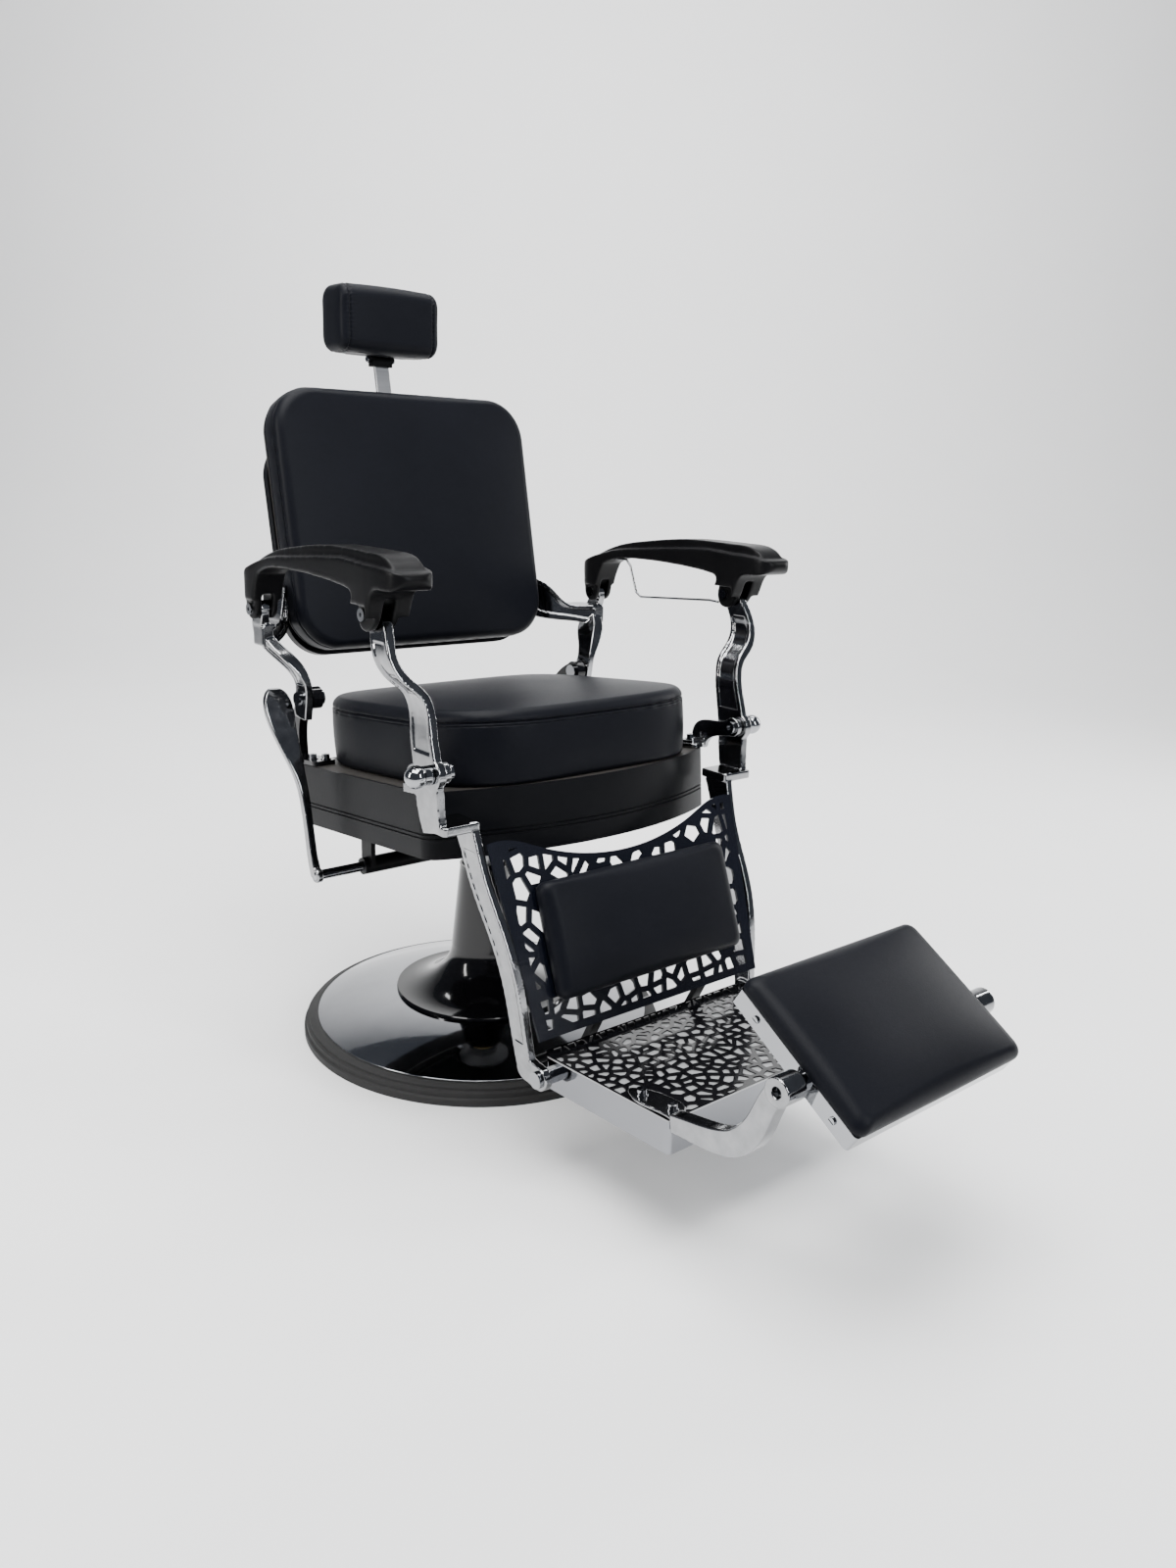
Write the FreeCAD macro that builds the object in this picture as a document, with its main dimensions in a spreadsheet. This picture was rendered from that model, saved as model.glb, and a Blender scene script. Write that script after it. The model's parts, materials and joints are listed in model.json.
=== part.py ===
import FreeCAD, Part
import Sketcher
import math
import os
import random
import re

V = FreeCAD.Vector
X_AXIS = V(1, 0, 0)
Z_AXIS = V(0, 0, 1)

# Driving dimensions in millimetres and degrees.
# The sitter faces -Y and Z is up; the column's axis is the Z axis and the floor is Z = 0.
SIZES = {
    # base and hydraulic column
    "base_radius": 315,
    "plate_radius": 288,
    "plate_thickness": 12,
    "boss_radius": 60,
    "boss_height": 30,
    "ring_height": 30,
    "dish_wall": 2.5,
    "dish_top": 66,
    "flare_radius": 154,
    "flare_lip": 6,
    "flare_wall": 4,
    "waist_radius": 78,
    "waist_height": 102,
    "neck_radius": 57,
    "neck_height": 149,
    "column_radius": 44,
    "column_top": 296,
    "cylinder_radius": 34,
    "cylinder_bore": 28,
    "gland_radius": 38,
    "gland_height": 16,
    "rod_radius": 24,
    "rod_bottom": 62,
    "rod_top": 322,
    "spigot_radius": 18,
    "spigot_length": 28,
    "washer_thickness": 2,
    "washer_radius": 30,
    "head_radius": 40,
    "running_clearance": 0.05,
    "face_clearance": 0.3,
    "casting_clearance": 1.2,
    # seat
    "pan_top": 494,
    "pan_tilt": 5.71,
    "pan_half_width": 276,
    "pan_rear": 160,
    "pan_corner": 245,
    "pan_front": 318,
    "pan_corner_radius": 32,
    "pan_height": 98,
    "pan_wall": 4,
    "board_thickness": 10,
    "cushion_half_width": 247,
    "cushion_half_depth": 236,
    "cushion_centre": -67,
    "cushion_height": 108,
    "cushion_squareness": 3.9,
    # front and rear hinge points
    "front_hub_y": -303,
    "front_hub_z": 562,
    "rear_hub_y": 95,
    "rear_hub_z": 598,
    "hub_pin_radius": 8,
    "post_thickness": 13,
    "post_gap": 15,
    "rear_arm_y": 122,
    "rear_arm_z": 741,
    "front_arm_y": -226,
    "front_arm_z": 771,
    "arm_centre": 340,
    "arm_slot": 17,
    "arm_pin_radius": 6,
    "linkage_clearance": 2.6,
    # backrest, measured along its own lean
    "back_lean": 12.5,
    "back_bottom_y": 206,
    "back_bottom_z": 652,
    "back_half_width": 247,
    "back_foot": 3,
    "back_height": 431,
    "back_forward": 45,
    "back_pad": 57,
    "back_board": 6,
    "back_shell": 16,
    "back_corner": 70,
    "shell_height": 362,
    # headrest
    "bar_width": 29,
    "bar_thickness": 6,
    "bar_depth": 26,
    "bar_bottom": 250,
    "socket_bottom": 198,
    "socket_wall": 2,
    "bar_clearance": 0.4,
    "headrest_pivot": 506,
    "headrest_half_width": 95,
    "headrest_depth": 80,
    "headrest_height": 108,
    # leg frame and footplate
    "foot_hinge_y": -457,
    "foot_hinge_z": 152,
    "foot_pin_radius": 7,
    "barrel_radius": 12,
    "barrel_width": 15.5,
    "panel_y": -368,
    "panel_z": 400,
    "panel_lean": 21,
    "panel_thickness": 4,
    "panel_bottom": 214,
    "panel_shoulder": 67,
    "panel_cell": 27,
    "web": 8.5,
    "calf_half_width": 179,
    "calf_height": 166,
    "calf_thickness": 24,
    "plate_half_width": 199,
    "plate_length": 250,
    "plate_depth": 45,
    "plate_rear_y": -436,
    "plate_rear_z": 169,
    "plate_lean": 3.66,
    "tray_wall": 3,
    "tread_cell": 19,
    "tread_web": 6.5,
    # flip pad
    "flip_y": -855,
    "flip_z": 305,
    "flip_lean": 31.6,
    "flip_half_width": 160,
    "flip_rear": 128,
    "flip_front": 87,
    "flip_wall": 3,
    "flip_pad": 21,
    "flip_hub_radius": 18,
    "flip_shaft_radius": 10,
    "pad_arm_thickness": 22,
    # pump lever
    "lever_y": 20,
    "lever_z": 327,
    "lever_rod_radius": 8,
    "lever_plane": 310,
    "lever_thickness": 10,
}

doc = FreeCAD.newDocument("BarberChair")
sheet = doc.addObject("Spreadsheet::Sheet", "Sizes")
for row, (alias, number) in enumerate(SIZES.items(), start=1):
    sheet.set("A%d" % row, alias)
    sheet.set("B%d" % row, str(number))
    sheet.setAlias("B%d" % row, alias)
doc.recompute()

pieces = []


def size(expression):
    """Value of a sheet expression, such as "pan_top - 10"."""
    return float(sheet.evalExpression(expression))


def bound(expression):
    """The same expression as another object has to write it."""
    return re.sub(r"[a-z]\w*", lambda word: "Sizes." + word.group(0), expression)


def keep(label, thing):
    """Give a finished sub-part its label and list it for export."""
    thing.Label = label
    pieces.append((label, thing))
    return thing


def feature(label, shape, placement=None):
    """A sub-part whose shape is worked out with Part's own functions."""
    thing = doc.addObject("Part::Feature", label)
    thing.Shape = shape
    if placement is not None:
        thing.Placement = placement.multiply(shape.Placement)
    return keep(label, thing)


# ---- PartDesign helpers ------------------------------------------------------------------

def sketch_outline(body, role, outline):
    """A closed sketch whose corners are bound to pairs of sheet expressions."""
    plane = [item for item in body.Origin.OriginFeatures if item.Role == role][0]
    sketch = body.newObject("Sketcher::SketchObject", body.Name + "_outline")
    sketch.AttachmentSupport = [(plane, "")]
    sketch.MapMode = "FlatFace"
    corners = [(size(across), size(along)) for across, along in outline]
    count = len(corners)
    for index in range(count):
        start = V(*corners[index], 0)
        end = V(*corners[(index + 1) % count], 0)
        sketch.addGeometry(Part.LineSegment(start, end), False)
    for index in range(count):
        sketch.addConstraint(Sketcher.Constraint("Coincident", index, 2, (index + 1) % count, 1))
    for index, (pair, corner) in enumerate(zip(outline, corners)):
        for kind, expression, number in zip(("DistanceX", "DistanceY"), pair, corner):
            made = sketch.addConstraint(Sketcher.Constraint(kind, -1, 1, index, 1, number))
            sketch.setExpression("Constraints[%d]" % made, bound(expression))
    return sketch


def turned(label, outline):
    """A solid of revolution about Z from (radius, height) expressions."""
    body = doc.addObject("PartDesign::Body", label)
    sketch = sketch_outline(body, "XZ_Plane", outline)
    turn = body.newObject("PartDesign::Revolution", label + "_turn")
    turn.Profile = sketch
    turn.ReferenceAxis = (sketch, ["V_Axis"])
    turn.Angle = 360
    return keep(label, body)


# ---- Part helpers ------------------------------------------------------------------------

def spline(points):
    curve = Part.BSplineCurve()
    curve.interpolate(points)
    return curve.toShape()


def strip(path, side):
    """Closed face of a strip with smooth edges; path holds (across, up, width)."""
    low_edge = []
    high_edge = []
    last = len(path) - 1
    for index, (across, up, width) in enumerate(path):
        before = path[max(index - 1, 0)]
        after = path[min(index + 1, last)]
        run = after[0] - before[0]
        rise = after[1] - before[1]
        half = width / 2 / math.hypot(run, rise)
        low_edge.append(to_plane(across - rise * half, up + run * half, side))
        high_edge.append(to_plane(across + rise * half, up - run * half, side))
    edges = [
        spline(low_edge),
        Part.LineSegment(low_edge[-1], high_edge[-1]).toShape(),
        spline(high_edge[::-1]),
        Part.LineSegment(high_edge[0], low_edge[0]).toShape(),
    ]
    return Part.Face(Part.Wire(edges))


def to_plane(across, up, side):
    """side "x": (y, z) in the plane X = 0; "y": (x, z) in Y = 0; "z": (x, y) in Z = 0."""
    if side == "x":
        return V(0, across, up)
    if side == "y":
        return V(across, 0, up)
    return V(across, up, 0)


def along(side, distance):
    return {"x": V(distance, 0, 0), "y": V(0, distance, 0), "z": V(0, 0, distance)}[side]


def prism(face, side, low, high):
    """Extrude a face that lies in a coordinate plane from low to high."""
    moved = face.copy()
    moved.translate(along(side, low))
    return moved.extrude(along(side, high - low))


def polygon(points, side):
    corners = [to_plane(across, up, side) for across, up in points]
    return Part.Face(Part.makePolygon(corners + corners[:1]))


def smooth_outline(points, side):
    """Closed smooth curve through the points."""
    curve = Part.BSplineCurve()
    curve.interpolate([to_plane(across, up, side) for across, up in points], PeriodicFlag=True)
    return Part.Face(Part.Wire([curve.toShape()]))


def rod(radius, low, high, y, z):
    """Round bar along X between two X values."""
    return Part.makeCylinder(radius, high - low, V(low, y, z), X_AXIS)


def box(low, high):
    return Part.makeBox(high[0] - low[0], high[1] - low[1], high[2] - low[2], V(*low))


def link(y_one, z_one, y_two, z_two, radius, low, high):
    """Bar with round ends between two points of the side view."""
    bar = [(y_one, z_one, 2 * radius), (y_two, z_two, 2 * radius)]
    body = prism(strip_straight(bar), "x", low, high)
    return body.fuse([rod(radius, low, high, y_one, z_one), rod(radius, low, high, y_two, z_two)])


def strip_straight(bar):
    (y_one, z_one, width), (y_two, z_two, _) = bar
    run = y_two - y_one
    rise = z_two - z_one
    half = width / 2 / math.hypot(run, rise)
    return polygon([
        (y_one - rise * half, z_one + run * half),
        (y_two - rise * half, z_two + run * half),
        (y_two + rise * half, z_two - run * half),
        (y_one + rise * half, z_one - run * half),
    ], "x")


def rounded_block(low, high, radius, edge_radius=0):
    """Block whose four edges along Z, and if asked the rest, are rounded."""
    block = box(low, high)
    upright = [edge for edge in block.Edges if abs(edge.tangentAt(edge.FirstParameter).z) > 0.9]
    block = block.makeFillet(radius, upright)
    if edge_radius:
        rims = [edge for edge in block.Edges if edge.BoundBox.ZLength < 1e-6]
        block = block.makeFillet(edge_radius, rims)
    return block


def mirrored(shape):
    return shape.mirror(V(0, 0, 0), X_AXIS)


def both_sides(label, shape):
    """The sitter's left is +X, where the shape is drawn; the right one is its mirror image."""
    feature(label + "_left", shape)
    feature(label + "_right", mirrored(shape))


def tilted(x, y, z, degrees):
    """Placement that leans a piece about X through a point."""
    return FreeCAD.Placement(V(x, y, z), FreeCAD.Rotation(X_AXIS, degrees))


def grown(outline, distance):
    """Face with the outline moved in or out by a distance."""
    return Part.Face(outline.OuterWire.makeOffset2D(distance))


# ---- perforated pattern ------------------------------------------------------------------

def clip(cell, middle, direction):
    """Keep the side of a convex cell that lies against the direction from the middle."""
    kept = []
    for index, here in enumerate(cell):
        there = cell[(index + 1) % len(cell)]
        here_side = (here[0] - middle[0]) * direction[0] + (here[1] - middle[1]) * direction[1]
        there_side = (there[0] - middle[0]) * direction[0] + (there[1] - middle[1]) * direction[1]
        if here_side <= 0:
            kept.append(here)
        if here_side * there_side < 0:
            part = here_side / (here_side - there_side)
            kept.append((here[0] + part * (there[0] - here[0]), here[1] + part * (there[1] - here[1])))
    return kept


def shard_cells(half_width, low, high, pitch, web, limits, seed):
    """Irregular straight-sided cells: each holds what is nearest to its own scattered point.

    limits(x, y) gives the (point, outward direction) edges that trim the cell there, or None for no cell.
    """
    chance = random.Random(seed)
    columns = round(2 * half_width / pitch)
    rows = round((high - low) / pitch)
    points = []
    for row_index in range(-1, rows + 1):
        for column in range(-1, columns + 1):
            x = -half_width + (column + 0.5 + chance.uniform(-0.42, 0.42)) * 2 * half_width / columns
            y = low + (row_index + 0.5 + chance.uniform(-0.42, 0.42)) * (high - low) / rows
            points.append((x, y))
    cells = []
    for x, y in points:
        edges = limits(x, y)
        if edges is None:
            continue
        for other_x, other_y in points:
            gap = math.hypot(other_x - x, other_y - y)
            if 0 < gap < 3 * pitch:
                direction = ((other_x - x) / gap, (other_y - y) / gap)
                reach = gap / 2 - web / 2
                edges.append(((x + direction[0] * reach, y + direction[1] * reach), direction))
        cell = [
            (x - pitch, y - pitch), (x + pitch, y - pitch), (x + pitch, y + pitch), (x - pitch, y + pitch)]
        for middle, direction in edges:
            cell = clip(cell, middle, direction)
        if len(cell) > 2:
            cells.append(cell)
    return cells


def cell_area(cell):
    total = 0
    for index, here in enumerate(cell):
        there = cell[(index + 1) % len(cell)]
        total += here[0] * there[1] - there[0] * here[1]
    return abs(total) / 2


SMALLEST_CELL = 40


def pierced(outline_wire, cells, side):
    """Face with a hole for every cell."""
    wires = [outline_wire]
    for cell in cells:
        if cell_area(cell) > SMALLEST_CELL:
            wires.append(polygon(cell, side).OuterWire)
    return Part.makeFace(wires, "Part::FaceMakerBullseye")


# ---- base and column ---------------------------------------------------------------------

def make_base():
    turned("base_plate", [
        ("0", "0"), ("plate_radius", "0"), ("plate_radius", "plate_thickness"),
        ("boss_radius", "plate_thickness"), ("boss_radius", "boss_height"), ("0", "boss_height"),
    ])
    turned("base_ring", [
        ("plate_radius", "0"), ("base_radius", "0"), ("base_radius", "ring_height - 19"),
        ("base_radius - 4", "ring_height - 17"), ("base_radius - 4", "ring_height - 9"),
        ("base_radius - 9", "ring_height - 7"), ("base_radius - 9", "ring_height - 3"),
        ("base_radius - 18", "ring_height"), ("plate_radius", "ring_height"),
    ])
    rim = size("plate_radius + 3")
    wall = size("dish_wall")
    low = size("ring_height")
    top = size("dish_top")
    inner = size("flare_radius - 6")
    middle = (rim + inner) / 2
    bulge = (low + top) / 2 + 5
    dish = Part.Wire([
        Part.Arc(V(rim - 1, 0, low + wall), V(middle, 0, bulge), V(inner, 0, top)).toShape(),
        Part.LineSegment(V(inner, 0, top), V(inner, 0, top - wall)).toShape(),
        Part.Arc(V(inner, 0, top - wall), V(middle, 0, bulge - wall), V(rim - 1, 0, low)).toShape(),
        Part.Arc(V(rim - 1, 0, low), V(rim, 0, low + wall / 2), V(rim - 1, 0, low + wall)).toShape(),
    ])
    feature("base_dish", Part.Face(dish).revolve(V(0, 0, 0), Z_AXIS, 360))

    flare = size("flare_radius")
    lip = size("dish_top + flare_lip")
    waist = size("waist_radius")
    waist_z = size("waist_height")
    shell = size("flare_wall")
    outer = Part.Arc(V(flare - 1.5, 0, lip), V((flare + waist) / 2 - 8, 0, lip + 9), V(waist, 0, waist_z))
    under = Part.Arc(
        V(waist - shell, 0, waist_z), V((flare + waist) / 2 - 12, 0, lip + 5), V(flare - 10, 0, top))
    flare_wire = Part.Wire([
        Part.LineSegment(V(flare - 10, 0, top), V(flare, 0, top)).toShape(),
        Part.LineSegment(V(flare, 0, top), V(flare, 0, lip - 1.5)).toShape(),
        Part.LineSegment(V(flare, 0, lip - 1.5), V(flare - 1.5, 0, lip)).toShape(),
        outer.toShape(),
        Part.LineSegment(V(waist, 0, waist_z), V(waist - shell, 0, waist_z)).toShape(),
        under.toShape(),
    ])
    feature("pedestal_flare", Part.Face(flare_wire).revolve(V(0, 0, 0), Z_AXIS, 360))

    neck = size("neck_radius")
    neck_z = size("neck_height")
    column = size("column_radius")
    column_z = size("column_top")
    knee = ((waist + neck) / 2 - 4, waist_z + (neck_z - waist_z) * 0.42)
    straight = [
        V(neck, 0, neck_z), V(column, 0, column_z - 6), V(column, 0, column_z),
        V(column - shell, 0, column_z), V(column - shell, 0, column_z - 6), V(neck - shell, 0, neck_z),
    ]
    cone_wire = Part.Wire([
        Part.Arc(V(waist, 0, waist_z), V(knee[0], 0, knee[1]), V(neck, 0, neck_z)).toShape(),
        *Part.makePolygon(straight).Edges,
        Part.Arc(V(neck - shell, 0, neck_z), V(knee[0] - shell, 0, knee[1]),
                 V(waist - shell, 0, waist_z)).toShape(),
        Part.LineSegment(V(waist - shell, 0, waist_z), V(waist, 0, waist_z)).toShape(),
    ])
    feature("pedestal_cone", Part.Face(cone_wire).revolve(V(0, 0, 0), Z_AXIS, 360))

    turned("pump_cylinder", [
        ("0", "boss_height"), ("boss_radius - 4", "boss_height"), ("boss_radius - 4", "boss_height + 8"),
        ("cylinder_radius", "boss_height + 8"), ("cylinder_radius", "column_top - gland_height + 2"),
        ("cylinder_bore", "column_top - gland_height + 2"), ("cylinder_bore", "boss_height + 8"),
        ("0", "boss_height + 8"),
    ])
    turned("pump_gland", [
        ("rod_radius + running_clearance", "column_top - gland_height + 2"),
        ("gland_radius", "column_top - gland_height + 2"), ("gland_radius", "column_top + 2"),
        ("gland_radius - 4", "column_top + 5"), ("rod_radius + running_clearance", "column_top + 5"),
    ])
    heads = []
    for index in range(4):
        angle = math.radians(45 + 90 * index)
        reach = size("(boss_radius - 4 + cylinder_radius) / 2")
        spot = V(reach * math.cos(angle), reach * math.sin(angle), size("boss_height + 8"))
        heads.append(Part.makeCylinder(6.5, 8, spot).cut(Part.makeCylinder(3, 5, spot + V(0, 0, 3))))
    feature("cylinder_bolts", Part.makeCompound(heads))


def make_lift():
    turned("piston_rod", [
        ("0", "rod_bottom"), ("cylinder_bore - running_clearance", "rod_bottom"),
        ("cylinder_bore - running_clearance", "rod_bottom + 14"), ("rod_radius", "rod_bottom + 14"),
        ("rod_radius", "rod_top"), ("spigot_radius", "rod_top"),
        ("spigot_radius", "rod_top + spigot_length"), ("0", "rod_top + spigot_length"),
    ])
    turned("thrust_washer", [
        ("spigot_radius", "rod_top"), ("washer_radius", "rod_top"),
        ("washer_radius", "rod_top + washer_thickness"), ("spigot_radius", "rod_top + washer_thickness"),
    ])


# ---- seat --------------------------------------------------------------------------------

def seat_placement():
    return tilted(0, 0, size("pan_top"), -size("pan_tilt"))


def in_seat(shape):
    """Move a shape drawn level with the pan's top at Z = 0 to where the pan is."""
    moved = shape.copy()
    moved.Placement = seat_placement().multiply(moved.Placement)
    return moved


def pan_outline():
    """Straight sides and rear, bowed front, rounded corners."""
    half = size("pan_half_width")
    rear = size("pan_rear")
    corner = -size("pan_corner")
    front = -size("pan_front")
    radius = size("pan_corner_radius")
    edges = [
        Part.Arc(V(-half, corner, 0), V(0, front, 0), V(half, corner, 0)).toShape(),
        *Part.makePolygon([
            V(half, corner, 0), V(half, rear, 0), V(-half, rear, 0), V(-half, corner, 0)]).Edges,
    ]
    block = Part.Face(Part.Wire(edges)).extrude(V(0, 0, 10))
    upright = [edge for edge in block.Edges if edge.BoundBox.ZLength > 9]
    rounded = block.makeFillet(radius, upright)
    floor = [face for face in rounded.Faces if face.BoundBox.ZMax < 1e-6][0]
    return Part.Face(floor.OuterWire)


def make_seat():
    height = size("pan_height")
    wall = size("pan_wall")
    outline = pan_outline()
    tub = outline.extrude(V(0, 0, height))
    tub.translate(V(0, 0, -height))
    hollow = grown(outline, -wall).extrude(V(0, 0, height))
    hollow.translate(V(0, 0, -height + wall + 1))
    groove = outline.extrude(V(0, 0, 3)).cut(grown(outline, -2).extrude(V(0, 0, 3)))
    for depth in (0.64, 0.7):
        cut = groove.copy()
        cut.translate(V(0, 0, -height * depth))
        tub = tub.cut(cut)
    feature("seat_pan", tub.cut(hollow), seat_placement())

    board = grown(outline, -wall - size("face_clearance")).extrude(V(0, 0, size("board_thickness")))
    board.translate(V(0, 0, -size("board_thickness")))
    feature("seat_board", board, seat_placement())

    squareness = size("cushion_squareness")
    points = []
    for index in range(48):
        angle = 2 * math.pi * index / 48
        across = math.copysign(abs(math.cos(angle)) ** (2 / squareness), math.cos(angle))
        deep = math.copysign(abs(math.sin(angle)) ** (2 / squareness), math.sin(angle))
        points.append((size("cushion_half_width") * across,
                       size("cushion_centre") + size("cushion_half_depth") * deep))
    cushion = smooth_outline(points, "z").extrude(V(0, 0, size("cushion_height")))
    feature("seat_cushion", cushion, seat_placement())

    head_top = size("pan_top - pan_height")
    head = Part.makeCylinder(size("head_radius"), 120, V(0, 0, size("rod_top + washer_thickness") + 0.1))
    head = head.fuse(Part.makeCone(size("head_radius"), size("head_radius + 34"), 26, V(0, 0, head_top - 34)))
    head = head.fuse(Part.makeCylinder(size("head_radius + 34"), 40, V(0, 0, head_top - 8)))
    bore = Part.makeCylinder(
        size("spigot_radius + running_clearance"), size("spigot_length") + 1, V(0, 0, size("rod_top")))
    above = in_seat(box((-200, -200, -height), (200, 200, 200)))
    feature("swivel_head", head.cut(bore).cut(above))

    hangers = []
    middle = (size("pan_half_width") + 20) / 2
    for offset in (-70, 70):
        plate = box((-middle + offset - 4, size("lever_y") - 16, size("lever_z")),
                    (-middle + offset + 4, size("lever_y") + 16, size("pan_top")))
        hangers.append(plate.cut(in_seat(box((-400, -200, -height), (400, 200, 200)))))
    sleeve = rod(14, -middle - 82, -middle + 82, size("lever_y"), size("lever_z")).fuse(hangers)
    bearing = sleeve.cut(rod(size("lever_rod_radius + running_clearance"), -400, 0,
                             size("lever_y"), size("lever_z")))
    feature("lever_bearing", bearing)


def make_seat_brackets():
    edge = size("pan_half_width")
    hub_y = size("front_hub_y")
    hub_z = size("front_hub_z")
    pin = size("hub_pin_radius")
    gap = size("casting_clearance")
    post_inside = edge + size("post_gap")
    post_outside = post_inside + size("post_thickness")
    flange = rounded_block((edge - 30, -252, 0), (edge, -184, 8), 10)
    step = box((edge - 26, -246, 0), (post_inside - 3, -208, 13))
    wing = strip([
        (hub_y + 76, hub_z - 40, 34), (hub_y + 66, hub_z - 18, 38), (hub_y + 34, hub_z - 8, 26),
        (hub_y, hub_z, 30),
    ], "x")
    wing = prism(wing, "x", edge + 3, post_inside - 3)
    hub = rod(16, edge + 3, post_inside - gap, hub_y, hub_z)
    front = in_seat(flange.fuse(step)).fuse([wing, hub])
    front = front.cut(rod(pin, 0, 400, hub_y, hub_z))
    both_sides("front_bracket", front.removeSplitter())

    cap = post_outside + gap
    ball = Part.makeSphere(16, V(cap + 21, hub_y, hub_z))
    ball = ball.cut(box((0, -500, 0), (cap + 12, 0, 900)))
    collar = rod(13.5, cap, cap + 14, hub_y, hub_z)
    head = rod(11, edge - 4, edge + 3, hub_y, hub_z)
    socket = Part.makeCylinder(4, 4, V(edge - 4, hub_y, hub_z), X_AXIS)
    front_pin = rod(pin, edge, cap + 4, hub_y, hub_z).fuse([ball, collar, head]).cut(socket)
    both_sides("front_pivot_pin", front_pin)

    back_y = size("rear_hub_y")
    back_z = size("rear_hub_z")
    inner = edge - 14
    flange = rounded_block((edge - 42, 90, 0), (edge - 2, 156, 8), 10)
    upright = strip([
        (back_y + 54, back_z - 116, 30), (back_y + 56, back_z - 70, 26), (back_y + 48, back_z - 34, 26),
        (back_y + 24, back_z - 10, 28), (back_y, back_z, 32),
    ], "x")
    rear = in_seat(flange).fuse([
        prism(upright, "x", inner, inner + 15), rod(18, inner, inner + 17, back_y, back_z)])
    rear = rear.cut(rod(pin, 0, 400, back_y, back_z))
    below = in_seat(box((0, 0, -90), (400, 300, 0)))
    both_sides("rear_bracket", rear.cut(below).removeSplitter())

    far = inner + 17 + 2 + size("post_thickness")
    head = rod(12, inner - 6, inner, back_y, back_z)
    nut = rod(11, far + gap, far + gap + 6, back_y, back_z)
    both_sides("rear_pivot_pin", rod(pin, inner - 3, far + gap + 6, back_y, back_z).fuse([head, nut]))

    bolts = []
    for x, y, seat in ((edge - 13, -228, 13), (edge - 14, -197, 8), (edge - 30, 106, 8), (edge - 16, 124, 8)):
        shank = Part.makeCylinder(8.5, 1.6, V(x, y, seat))
        head = Part.makeCylinder(6.5, 7, V(x, y, seat + 1.6))
        recess = Part.makeCylinder(3, 4, V(x, y, seat + 5.6))
        bolt = in_seat(shank.fuse(head).cut(recess))
        bolts += [bolt, mirrored(bolt)]
    feature("pan_bolts", Part.makeCompound(bolts))


# ---- pump lever --------------------------------------------------------------------------

def make_lever():
    y = size("lever_y")
    z = size("lever_z")
    plane = -size("lever_plane")
    half = size("lever_thickness") / 2
    shaft = rod(size("lever_rod_radius"), plane - half, -50, y, z)
    feature("lever_shaft", shaft)
    side = strip([
        (y + 4, z - 2, 17), (y + 12, z + 18, 16), (y + 20, z + 44, 15), (y + 31, z + 92, 14),
        (y + 44, z + 140, 13), (y + 66, z + 186, 12), (y + 88, z + 226, 11), (y + 103, z + 262, 10),
        (y + 116, z + 290, 9),
    ], "x")
    front = strip([
        (plane, z - 12, 13), (plane, z + 40, 12), (plane, z + 110, 13), (plane - 2, z + 150, 17),
        (plane - 6, z + 190, 30), (plane - 9, z + 226, 42), (plane - 10, z + 256, 47),
        (plane - 10, z + 274, 38), (plane - 10, z + 284, 18),
    ], "y")
    arm = prism(side, "x", plane - 60, plane + 60).common(prism(front, "y", -60, 300))
    arm = arm.fuse(rod(12, plane - half, plane + half, y, z))
    feature("lever_arm", arm.removeSplitter().cut(shaft))


# ---- leg frame ---------------------------------------------------------------------------

def leg_x(z):
    """Centre of the lower leg post: it narrows from the seat down to the footplate."""
    top_x = size("pan_half_width") - 26
    foot_x = size("plate_half_width + barrel_width + face_clearance + post_thickness / 2") + 0.2
    top_z = size("front_hub_z") - 72
    return foot_x + (top_x - foot_x) * (z - size("foot_hinge_z")) / (top_z - size("foot_hinge_z"))


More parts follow.
